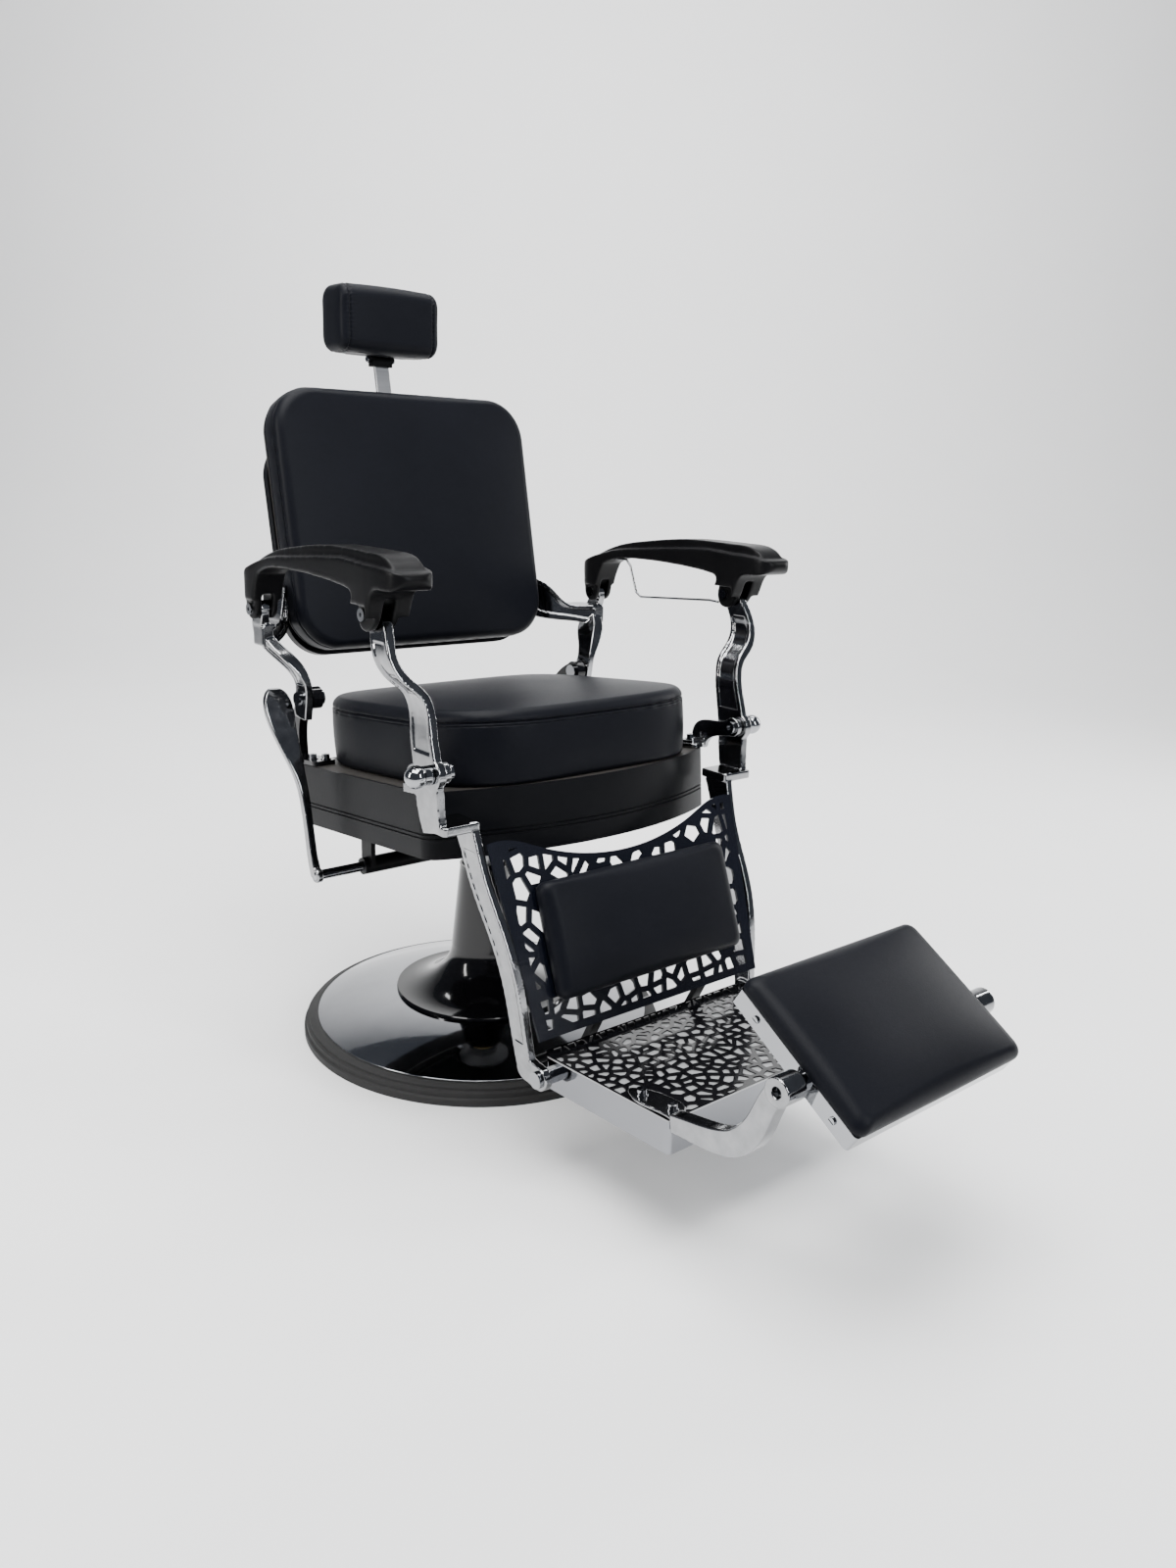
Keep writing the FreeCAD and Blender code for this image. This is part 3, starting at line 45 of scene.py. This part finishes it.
scene = bpy.context.scene


class Wire:
    # one socket of a node tree; sums, differences and products of values add Math nodes
    def __init__(self, tree, socket):
        self.tree = tree
        self.socket = socket

    def math(self, operation, first, second):
        made = self.tree.nodes.new("ShaderNodeMath")
        made.operation = operation
        for slot, value in enumerate((first, second)):
            if isinstance(value, Wire):
                self.tree.links.new(value.socket, made.inputs[slot])
            else:
                made.inputs[slot].default_value = value
        return Wire(self.tree, made.outputs[0])

    def __add__(self, other):
        return self.math("ADD", self, other)

    def __radd__(self, other):
        return self.math("ADD", other, self)

    def __rsub__(self, other):
        return self.math("SUBTRACT", other, self)

    def __mul__(self, other):
        return self.math("MULTIPLY", self, other)

    def __rmul__(self, other):
        return self.math("MULTIPLY", other, self)


class Finish:
    # a material with one Principled shader and the methods that feed it
    def __init__(self, name, **fixed):
        self.material = bpy.data.materials.new(name)
        self.material.use_nodes = True
        self.tree = self.material.node_tree
        self.shader = self.tree.nodes["Principled BSDF"]
        for socket, value in fixed.items():
            self.shader.inputs[socket.replace("_", " ")].default_value = value
        self.place = self.node("TexCoord", output="Object")

    def node(self, kind, settings=None, output=0, **inputs):
        made = self.tree.nodes.new("ShaderNode" + kind)
        for key, value in (settings or {}).items():
            setattr(made, key, value)
        for socket, value in inputs.items():
            target = made.inputs[socket.replace("_", " ")]
            if isinstance(value, Wire):
                self.tree.links.new(value.socket, target)
            else:
                target.default_value = value
        return Wire(self.tree, made.outputs[output])

    def shade(self, factor, low, high):
        made = self.tree.nodes.new("ShaderNodeMix")
        made.data_type = "RGBA"
        self.tree.links.new(factor.socket, made.inputs["Factor"])
        made.inputs[6].default_value = (*low, 1.0)
        made.inputs[7].default_value = (*high, 1.0)
        return Wire(self.tree, made.outputs[2])

    def noise(self, scale, detail=3.0, roughness=0.5, place=None):
        return self.node("TexNoise", Vector=place or self.place, Scale=scale,
                         Detail=detail, Roughness=roughness)

    def cells(self, scale, feature="F1"):
        return self.node("TexVoronoi", {"feature": feature}, "Distance", Vector=self.place, Scale=scale)

    def stretched(self, across, along, up):
        return self.node("Mapping", Vector=self.place, Scale=(across, along, up))

    def feed(self, socket, wire):
        self.tree.links.new(wire.socket, self.shader.inputs[socket])

    def bump(self, height, strength, distance):
        self.feed("Normal", self.node("Bump", Height=height, Strength=strength, Distance=distance))


def polishedChrome():
    look = {"smudgeScale": 9.0, "grainScale": 260.0, "roughLow": 0.03, "roughGain": 0.07}
    finish = Finish("polishedChrome", Metallic=1.0, IOR=1.5)
    smudge = finish.noise(look["smudgeScale"], 5.0, 0.6)
    fine = finish.noise(look["grainScale"], 2.0)
    finish.feed("Base Color", finish.shade(smudge, (0.25, 0.257, 0.27), (0.38, 0.385, 0.40)))
    finish.feed("Roughness", look["roughLow"] + look["roughGain"] * (smudge * 0.8 + fine * 0.2))
    finish.bump(finish.noise(38.0, 2.0), 0.10, 0.0006)
    return finish.material


def castChrome():
    # plated casting: the metal under the plating is a little wavy
    look = {"waveScale": 55.0, "pitScale": 420.0}
    finish = Finish("castChrome", Metallic=1.0, IOR=1.5)
    wave = finish.noise(look["waveScale"], 3.0, 0.55)
    pits = finish.noise(look["pitScale"], 2.0)
    finish.feed("Base Color", finish.shade(wave, (0.20, 0.203, 0.21), (0.36, 0.363, 0.37)))
    finish.feed("Roughness", 0.045 + 0.09 * wave + 0.03 * pits)
    finish.bump(wave * 0.8 + pits * 0.2, 0.22, 0.0011)
    return finish.material


def satinSteel():
    finish = Finish("satinSteel", Metallic=1.0)
    lines = finish.noise(14.0, 4.0, 0.6, finish.stretched(1.0, 1.0, 40.0))
    finish.feed("Base Color", finish.shade(lines, (0.42, 0.42, 0.43), (0.60, 0.60, 0.61)))
    finish.feed("Roughness", 0.26 + 0.14 * lines)
    finish.bump(lines, 0.2, 0.0004)
    return finish.material


def glossPaint(name, dark, light, rough):
    # baked enamel: very slight orange peel and fine dust in the gloss
    finish = Finish(name, Metallic=0.0, IOR=1.5, Specular_IOR_Level=0.25,
                    Coat_Weight=0.25, Coat_Roughness=0.04)
    dust = finish.noise(420.0, 2.0)
    cloud = finish.noise(6.0, 4.0, 0.6)
    finish.feed("Base Color", finish.shade(cloud, dark, light))
    finish.feed("Roughness", rough + 0.06 * cloud + 0.05 * dust)
    finish.bump(finish.noise(170.0, 1.0), 0.06, 0.0005)
    return finish.material


def satinPaint():
    finish = Finish("satinPaint", Metallic=0.0, IOR=1.5, Specular_IOR_Level=0.09)
    peel = finish.noise(260.0, 2.0)
    cloud = finish.noise(5.0, 4.0, 0.6)
    finish.feed("Base Color", finish.shade(cloud, (0.0018, 0.0020, 0.0028), (0.0045, 0.0048, 0.0060)))
    finish.feed("Roughness", 0.30 + 0.10 * cloud + 0.05 * peel)
    finish.bump(peel, 0.12, 0.0006)
    return finish.material


def mouldedPlastic():
    look = {"textureScale": 900.0, "roughLow": 0.27}
    finish = Finish("mouldedPlastic", Metallic=0.0, IOR=1.48, Specular_IOR_Level=0.10)
    texture = finish.cells(look["textureScale"])
    rubbed = finish.noise(11.0, 4.0, 0.6)
    finish.feed("Base Color", finish.shade(rubbed, (0.0020, 0.0020, 0.0024), (0.0050, 0.0050, 0.0056)))
    finish.feed("Roughness", look["roughLow"] + 0.14 * rubbed)
    finish.bump(texture, 0.10, 0.0003)
    return finish.material


def fineVinyl():
    # pressed grain: small rounded pebbles with fine creases, and slow changes of sheen
    look = {"pebbleScale": 620.0, "creaseScale": 210.0, "roughLow": 0.36}
    finish = Finish("fineVinyl", Metallic=0.0, IOR=1.46, Specular_IOR_Level=0.09,
                    Sheen_Weight=0.01, Sheen_Roughness=0.5)
    pebble = finish.cells(look["pebbleScale"], "SMOOTH_F1")
    crease = finish.noise(look["creaseScale"], 5.0, 0.62)
    cloud = finish.noise(4.5, 5.0, 0.6)
    tone = cloud * 0.7 + crease * 0.3
    finish.feed("Base Color", finish.shade(tone, (0.0018, 0.0021, 0.0036), (0.0050, 0.0057, 0.0088)))
    finish.feed("Roughness", look["roughLow"] + 0.10 * cloud + 0.08 * pebble)
    finish.bump(pebble * 0.6 + crease * 0.4, 0.22, 0.0006)
    return finish.material


def mattRubber():
    finish = Finish("mattRubber", Metallic=0.0, IOR=1.45)
    fine = finish.noise(520.0, 3.0)
    dust = finish.noise(16.0, 5.0, 0.65)
    finish.feed("Base Color", finish.shade(dust, (0.006, 0.006, 0.0065), (0.016, 0.0158, 0.0155)))
    finish.feed("Roughness", 0.55 + 0.2 * dust)
    finish.bump(fine, 0.25, 0.0005)
    return finish.material


def roughIron():
    finish = Finish("roughIron", Metallic=0.6)
    sand = finish.noise(340.0, 4.0, 0.6)
    finish.feed("Base Color", finish.shade(sand, (0.03, 0.03, 0.032), (0.09, 0.09, 0.092)))
    finish.feed("Roughness", 0.5 + 0.2 * sand)
    finish.bump(sand, 0.4, 0.001)
    return finish.material


def machinedBrass():
    finish = Finish("machinedBrass", Metallic=1.0)
    lines = finish.noise(60.0, 3.0, 0.5, finish.stretched(1.0, 1.0, 8.0))
    finish.feed("Base Color", finish.shade(lines, (0.58, 0.42, 0.16), (0.78, 0.60, 0.28)))
    finish.feed("Roughness", 0.22 + 0.12 * lines)
    finish.bump(lines, 0.15, 0.0004)
    return finish.material


def blackBoard():
    # plywood stained black: long fibres show faintly
    finish = Finish("blackBoard", Metallic=0.0)
    fibre = finish.noise(30.0, 6.0, 0.6, finish.stretched(1.0, 9.0, 9.0))
    finish.feed("Base Color", finish.shade(fibre, (0.012, 0.011, 0.010), (0.030, 0.026, 0.022)))
    finish.feed("Roughness", 0.5 + 0.2 * fibre)
    finish.bump(fibre, 0.25, 0.0006)
    return finish.material


def deckPlate():
    # mirror plating on the sides, a satin light deck where the faces look up
    finish = Finish("deckPlate", IOR=1.5)
    up = finish.node("SeparateXYZ", output=2, Vector=finish.node("TexCoord", output="Normal"))
    deck = finish.node("MapRange", Value=up, From_Min=0.9, From_Max=0.98)
    grain = finish.noise(90.0, 3.0)
    finish.feed("Base Color", finish.shade(deck, (0.24, 0.245, 0.26), (0.30, 0.305, 0.31)))
    finish.feed("Metallic", 1.0 - 0.75 * deck)
    finish.feed("Roughness", 0.05 + 0.04 * grain + 0.36 * deck)
    finish.bump(grain, 0.08, 0.0004)
    return finish.material


finishes = {
    "chrome": polishedChrome(),
    "cast_chrome": castChrome(),
    "steel": satinSteel(),
    "gloss_black": glossPaint("glossBlack", (0.0020, 0.0020, 0.0026), (0.0045, 0.0045, 0.0055), 0.06),
    "panel_black": glossPaint("panelBlueBlack", (0.0018, 0.0024, 0.0050), (0.0040, 0.0050, 0.0095), 0.20),
    "pan_black": satinPaint(),
    "arm_black": mouldedPlastic(),
    "black_plastic": mouldedPlastic(),
    "black_vinyl": fineVinyl(),
    "black_rubber": mattRubber(),
    "iron": roughIron(),
    "brass": machinedBrass(),
    "board": blackBoard(),
}
# three nodes have a finish of their own
ownFinish = {
    "foot_tray": deckPlate(),
    "headrest_bar": finishes["steel"],
    "pedestal_cone": finishes["gloss_black"],
}
slotOf = {part["node"]: part["material_slot"] for part in frame["record"]["subparts"]}
for name, cadObject in nodes.items():
    cadObject.data.materials.clear()
    cadObject.data.materials.append(ownFinish.get(name, finishes[slotOf[name]]))
print("finishes on", len(nodes), "nodes")


def newPiece(name, points, quads, slotName, body):
    mesh = bpy.data.meshes.new(name)
    mesh.from_pydata(points.tolist(), [], quads)
    mesh.update()
    piece = bpy.data.objects.new(name, mesh)
    scene.collection.objects.link(piece)
    piece.data.materials.append(finishes[slotName])
    mesh.polygons.foreach_set("use_smooth", np.ones(len(mesh.polygons), bool))
    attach(piece, body)
    return piece


def ringQuads(rings, around):
    # faces between neighbouring rings of points, each ring closed on itself
    row, column = np.meshgrid(np.arange(rings - 1), np.arange(around), indexing="ij")
    following = (column + 1) % around
    quads = np.stack([row * around + column, row * around + following,
                      (row + 1) * around + following, (row + 1) * around + column], -1)
    return quads.reshape(-1, 4)


def closeEnds(quads, rings, around):
    # a fan from one middle point at each end closes the form
    first = rings * around
    last = first + 1
    here = np.arange(around)
    following = (here + 1) % around
    low = np.stack([following, here, np.full(around, first)], -1)
    top = (rings - 1) * around
    high = np.stack([top + here, top + following, np.full(around, last)], -1)
    return quads.tolist() + low.tolist() + high.tolist()


def leanMatrix(degrees):
    return np.array(Matrix.Rotation(math.radians(degrees), 3, "X"))


def levelBox(node, degrees):
    # corners of a CAD node in its own frame, which leans about X by the given degrees
    mesh = nodes[node].data
    flat = np.empty(len(mesh.vertices) * 3, np.float32)
    mesh.vertices.foreach_get("co", flat)
    level = flat.reshape(-1, 3) @ leanMatrix(degrees)
    return level.min(0), level.max(0)


def roundedRectangle(halfWide, halfHigh, radius, count):
    # straight sides joined by quarter circles, spaced evenly by length
    straightWide = 2 * (halfWide - radius)
    straightHigh = 2 * (halfHigh - radius)
    quarter = math.pi * radius / 2
    lengths = np.array([straightWide, quarter, straightHigh, quarter] * 2)
    ends = np.cumsum(lengths)
    distance = np.linspace(0, ends[-1], count, endpoint=False)
    side = np.searchsorted(ends, distance, side="right")
    into = distance - np.concatenate([[0], ends[:-1]])[side]
    wide = halfWide - radius
    high = halfHigh - radius
    centreX = np.array([0, wide, 0, wide, 0, -wide, 0, -wide])
    centreY = np.array([0, -high, 0, high, 0, high, 0, -high])
    x = np.zeros(count)
    y = np.zeros(count)
    for index in range(8):
        on = side == index
        run = into[on]
        if index % 2:
            angle = -math.pi / 2 + (index // 2) * math.pi / 2 + run / radius
            x[on] = centreX[index] + radius * np.cos(angle)
            y[on] = centreY[index] + radius * np.sin(angle)
        else:
            turn = index // 2
            start = [(-wide, -halfHigh), (halfWide, -high), (wide, halfHigh), (-halfWide, high)][turn]
            step = [(1, 0), (0, 1), (-1, 0), (0, -1)][turn]
            x[on] = start[0] + step[0] * run
            y[on] = start[1] + step[1] * run
    return np.stack([x, y], -1)


def superEllipse(halfWide, halfDeep, power, count):
    # |x/a|^n + |y/b|^n = 1
    angle = np.linspace(0, 2 * np.pi, count, endpoint=False)
    x = halfWide * np.sign(np.cos(angle)) * np.abs(np.cos(angle)) ** (2 / power)
    y = halfDeep * np.sign(np.sin(angle)) * np.abs(np.sin(angle)) ** (2 / power)
    return np.stack([x, y], -1)


def paddedForm(outline, height, edges, crown, bulge, seams, rings):
    # rings of the outline, each pulled in by its inset, stacked as a box with rounded rims;
    # edges: radius at the low and high rim; crown: rise at the middle of the low and high face;
    # bulge: how far the side swells; seams: (height, depth, half width) of sewn grooves in the side.
    # a seam also draws the cover into small puckers, two sine waves that never quite repeat
    lowEdge, highEdge = edges
    lowCrown, highCrown = crown
    reach = np.hypot(outline[:, 0], outline[:, 1])
    insetShares = np.linspace(1, 0, rings) ** 1.5
    quarter = np.linspace(0, math.pi / 2, 10)
    inner = reach.min()
    widest = np.abs(outline).max(axis=0)
    parts = []
    for share in insetShares[1:-1]:
        parts.append((lowEdge + share * (inner - lowEdge), 0.0, False))
    for angle in quarter:
        parts.append((lowEdge * (1 - math.sin(angle)), lowEdge * (1 - math.cos(angle)), True))
    levels = [np.linspace(lowEdge, height - highEdge, 40)[1:-1]]
    for seamLevel, seamDepth, seamHalf in seams:
        levels.append(np.linspace(seamLevel - 3 * seamHalf, seamLevel + 3 * seamHalf, 13))
    levels = np.unique(np.concatenate(levels).round(5))
    for level in levels[(levels > lowEdge) & (levels < height - highEdge)]:
        parts.append((0.0, level, True))
    for angle in quarter:
        parts.append((highEdge * (1 - math.cos(angle)), height - highEdge * (1 - math.sin(angle)), True))
    for share in insetShares[::-1][1:-1]:
        parts.append((highEdge + share * (inner - highEdge), height, False))
    turn = np.linspace(0, 2 * math.pi, len(outline), endpoint=False)
    puckers = 0.0004 * (np.sin(47 * turn) + 0.8 * np.sin(71 * turn + 1.3))
    points = []
    for inset, level, onSide in parts:
        pulled = inset
        rise = level
        shape = inset / inner
        if onSide:
            pulled -= bulge * math.sin(math.pi * min(max(level / height, 0), 1)) ** 0.8
            for seamLevel, seamDepth, seamHalf in seams:
                pulled += seamDepth * math.exp(-((level - seamLevel) / seamHalf) ** 2)
                pulled = pulled + puckers * math.exp(-((level - seamLevel) / (4 * seamHalf)) ** 2)
        scale = np.clip(1 - pulled / reach * (1 - shape) - shape * (pulled / inner), 0, 2)
        flat = outline * scale[:, None]
        # the crown is a product of two level-topped bumps, one across and one along
        soft = np.prod(1 - np.clip(np.abs(flat / widest), 0, 1) ** 3.2, axis=1)
        if level > height / 2:
            rise = rise + highCrown * soft
        else:
            rise = rise - lowCrown * soft
        points.append(np.column_stack([flat, rise]))
    ringCount = len(points)
    stacked = np.concatenate(points)
    ends = np.array([[0, 0, -lowCrown], [0, 0, height + highCrown]])
    stacked = np.concatenate([stacked, ends])
    return stacked, closeEnds(ringQuads(ringCount, len(outline)), ringCount, len(outline))


def faceOut(piece):
    work = bmesh.new()
    work.from_mesh(piece.data)
    bmesh.ops.recalc_face_normals(work, faces=work.faces)
    work.to_mesh(piece.data)
    work.free()


def placedForm(name, node, points, quads, body):
    piece = newPiece(name, points, quads, "black_vinyl", body)
    faceOut(piece)
    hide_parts(node)


def softenedCasting(name, node, body, voxel, passes):
    # the node's own shape with the rounded edges of a casting: a merged copy is remeshed evenly,
    # then relaxed
    source = nodes[node]
    mesh = source.data.copy()
    piece = bpy.data.objects.new(name, mesh)
    scene.collection.objects.link(piece)
    work = bmesh.new()
    work.from_mesh(mesh)
    bmesh.ops.remove_doubles(work, verts=work.verts, dist=1e-5)
    work.to_mesh(mesh)
    work.free()
    remesh = piece.modifiers.new("even", "REMESH")
    remesh.mode = "VOXEL"
    remesh.voxel_size = voxel
    relax = piece.modifiers.new("relax", "SMOOTH")
    relax.factor = 0.5
    relax.iterations = passes
    shaped = bpy.data.meshes.new_from_object(piece.evaluated_get(bpy.context.evaluated_depsgraph_get()))
    piece.modifiers.clear()
    piece.data = shaped
    shaped.name = name
    shaped.polygons.foreach_set("use_smooth", np.ones(len(shaped.polygons), bool))
    shaped.materials.clear()
    shaped.materials.append(finishes[slotOf[node]])
    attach(piece, body)
    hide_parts(node)


# name: body, voxel size in metres, smoothing passes
castings = {
    "leg_post": ("leg_frame", 0.0012, 8),
    "back_casting": ("back", 0.0011, 10),
    "pad_arm": ("footplate", 0.0011, 9),
    "front_bracket": ("seat", 0.0010, 7),
}
for stem, (body, voxel, passes) in castings.items():
    for hand in ("left", "right"):
        softenedCasting(f"{stem}_{hand}_cast", f"{stem}_{hand}", body, voxel, passes)
softenedCasting("lever_arm_cast", "lever_arm", "lever", 0.0010, 12)
for hand in ("left", "right"):
    softenedCasting(f"armrest_{hand}_moulding", f"armrest_{hand}", f"arm_{hand}", 0.0014, 30)
print("castings softened")


def makeSeatCushion():
    look = {"lean": -5.71, "power": 3.9, "edge": 0.014, "crown": 0.010, "bulge": 0.003}
    low, high = levelBox("seat_cushion", look["lean"])
    half = (high - low) / 2
    centre = (high + low) / 2
    height = high[2] - low[2]
    outline = superEllipse(half[0], half[1], look["power"], 240)
    seams = [(height - 0.0165, 0.0030, 0.0014), (height - 0.0215, 0.0012, 0.0009)]
    points, quads = paddedForm(outline, height, (0.008, look["edge"]), (0.0, look["crown"]),
                               look["bulge"], seams, 34)
    points += np.array([centre[0], centre[1], low[2]])
    placedForm("seatCushion", "seat_cushion", points @ leanMatrix(look["lean"]).T, quads, "seat")


def makeBackCushion():
    look = {"lean": -12.5, "corner": 0.070, "edge": 0.014, "crown": 0.009, "bulge": 0.003}
    low, high = levelBox("back_cushion", look["lean"])
    half = (high - low) / 2
    centre = (high + low) / 2
    depth = high[1] - low[1]
    outline = roundedRectangle(half[0], half[2], look["corner"], 320)
    seams = [(depth - 0.0175, 0.0036, 0.0015), (0.010, 0.0026, 0.0014)]
    points, quads = paddedForm(outline, depth, (0.006, look["edge"]), (0.0, look["crown"]),
                               look["bulge"], seams, 34)
    # the form grows along its third axis; here that is forwards, out of the back
    turned = np.column_stack([points[:, 0] + centre[0], high[1] - points[:, 2], points[:, 1] + centre[2]])
    placedForm("backCushion", "back_cushion", turned @ leanMatrix(look["lean"]).T, quads, "back")


def makeHeadrestCushion():
    look = {"corner": 0.022, "edge": 0.012, "crown": 0.004, "bulge": 0.003}
    low, high = levelBox("headrest_cushion", 0)
    half = (high - low) / 2
    centre = (high + low) / 2
    length = high[0] - low[0]
    outline = roundedRectangle(half[1], half[2], look["corner"], 220)
    seams = [(0.013, 0.0026, 0.0018), (length - 0.013, 0.0026, 0.0018)]
    points, quads = paddedForm(outline, length, (look["edge"],) * 2, (look["crown"],) * 2,
                               look["bulge"], seams, 30)
    turned = np.column_stack([points[:, 2] + low[0], points[:, 0] + centre[1], points[:, 1] + centre[2]])
    placedForm("headrestCushion", "headrest_cushion", turned, quads, "headrest")


def makeCalfPad():
    look = {"lean": -21.0, "corner": 0.014, "edge": 0.016, "crown": 0.009, "bulge": 0.001}
    low, high = levelBox("calf_pad", look["lean"])
    half = (high - low) / 2
    centre = (high + low) / 2
    outline = roundedRectangle(half[0], half[2], look["corner"], 300)
    points, quads = paddedForm(outline, high[1] - low[1], (0.003, look["edge"]), (0.0, look["crown"]),
                               look["bulge"], [], 30)
    turned = np.column_stack([points[:, 0] + centre[0], high[1] - points[:, 2], points[:, 1] + centre[2]])
    placedForm("calfPad", "calf_pad", turned @ leanMatrix(look["lean"]).T, quads, "leg_frame")


def makeFlipCushion():
    look = {"lean": 31.6, "corner": 0.014, "edge": 0.018, "crown": 0.010, "bulge": 0.002}
    low, high = levelBox("flip_cushion", look["lean"])
    half = (high - low) / 2
    centre = (high + low) / 2
    outline = roundedRectangle(half[0], half[1], look["corner"], 300)
    points, quads = paddedForm(outline, high[2] - low[2], (0.003, look["edge"]), (0.0, look["crown"]),
                               look["bulge"], [], 30)
    points += np.array([centre[0], centre[1], low[2]])
    placedForm("flipCushion", "flip_cushion", points @ leanMatrix(look["lean"]).T, quads, "flip_pad")


makeSeatCushion()
makeBackCushion()
makeHeadrestCushion()
makeCalfPad()
makeFlipCushion()
print("upholstery made")


def makeFloor():
    # a flat floor that turns up into a wall behind the chair: flat run, quarter circle, upright
    look = {"front": -3.0, "bend": 3.4, "radius": 2.6, "top": 7.0, "halfWide": 9.0, "ahead": (0.645, 0.764)}
    angle = np.linspace(0, math.pi / 2, 24)
    along = np.concatenate([[look["front"]], look["bend"] + look["radius"] * np.sin(angle),
                            [look["bend"] + look["radius"]]])
    rise = np.concatenate([[0.0], look["radius"] * (1 - np.cos(angle)), [look["top"]]])
    across = np.linspace(-look["halfWide"], look["halfWide"], 2)
    ahead = np.array(look["ahead"])
    side = np.array([ahead[1], -ahead[0]])
    flat = along[:, None, None] * ahead + across[None, :, None] * side
    heights = np.broadcast_to(rise[:, None, None], (len(rise), 2, 1))
    points = np.concatenate([flat, heights], -1).reshape(-1, 3)
    row = np.arange(len(along) - 1) * 2
    quads = np.stack([row, row + 1, row + 3, row + 2], -1)
    mesh = bpy.data.meshes.new("floor")
    mesh.from_pydata(points.tolist(), [], quads.tolist())
    mesh.polygons.foreach_set("use_smooth", np.ones(len(mesh.polygons), bool))
    floor = bpy.data.objects.new("floor", mesh)
    scene.collection.objects.link(floor)
    finish = Finish("paleFloor", Roughness=0.7, Specular_IOR_Level=0.2)
    finish.feed("Base Color", finish.shade(finish.noise(3.0), (0.88, 0.88, 0.88), (0.91, 0.91, 0.91)))
    floor.data.materials.append(finish.material)


def areaLight(name, place, target, size, power, colour=(1, 1, 1)):
    data = bpy.data.lights.new(name, "AREA")
    data.shape = "RECTANGLE"
    data.size, data.size_y = size
    data.energy = power
    data.color = colour
    light = bpy.data.objects.new(name, data)
    scene.collection.objects.link(light)
    light.location = place
    light.rotation_euler = (Vector(target) - Vector(place)).to_track_quat("-Z", "Y").to_euler()


def makeLights():
    aim = (0.0, -0.2, 0.5)
    areaLight("ceilingSoft", (-0.6, -0.6, 3.4), aim, (2.6, 2.6), 250)
    areaLight("wallWash", (1.2, 1.5, 4.6), (3.4, 3.9, 1.4), (5.0, 1.2), 420)
    areaLight("leftWindow", (-2.9, 0.3, 1.7), aim, (0.35, 1.8), 60, (1.0, 0.98, 0.95))
    areaLight("frontStrip", (0.6, -3.4, 1.9), aim, (0.3, 1.8), 55, (0.94, 0.97, 1.0))
    areaLight("rightStrip", (3.0, -0.9, 1.5), aim, (0.25, 1.8), 40)


def makeWorld():
    world = bpy.data.worlds.new("studio")
    scene.world = world
    world.use_nodes = True
    world.node_tree.nodes["Background"].inputs["Color"].default_value = (0.10, 0.11, 0.13, 1.0)


def makeCamera():
    view = {"place": (-1.13847, -1.62173, 0.96822), "azimuth": -40.146, "elevation": 14.890, "roll": 1.954,
            "lens": 27.3116, "sensor": 36.0}
    azimuth = math.radians(view["azimuth"])
    elevation = math.radians(view["elevation"])
    roll = math.radians(view["roll"])
    ahead = Vector((-math.sin(azimuth) * math.cos(elevation), math.cos(azimuth) * math.cos(elevation),
                    -math.sin(elevation)))
    level = Vector((math.cos(azimuth), math.sin(azimuth), 0))
    upright = level.cross(ahead)
    right = level * math.cos(roll) + upright * math.sin(roll)
    up = upright * math.cos(roll) - level * math.sin(roll)
    data = bpy.data.cameras.new("camera")
    data.lens = view["lens"]
    data.sensor_fit = "AUTO"
    data.sensor_width = view["sensor"]
    camera = bpy.data.objects.new("camera", data)
    scene.collection.objects.link(camera)
    turn = Matrix((right, up, -ahead)).transposed().to_4x4()
    camera.matrix_world = Matrix.Translation(view["place"]) @ turn
    bpy.context.scene.camera = camera


makeFloor()
makeLights()
makeWorld()
makeCamera()
print("stage ready")
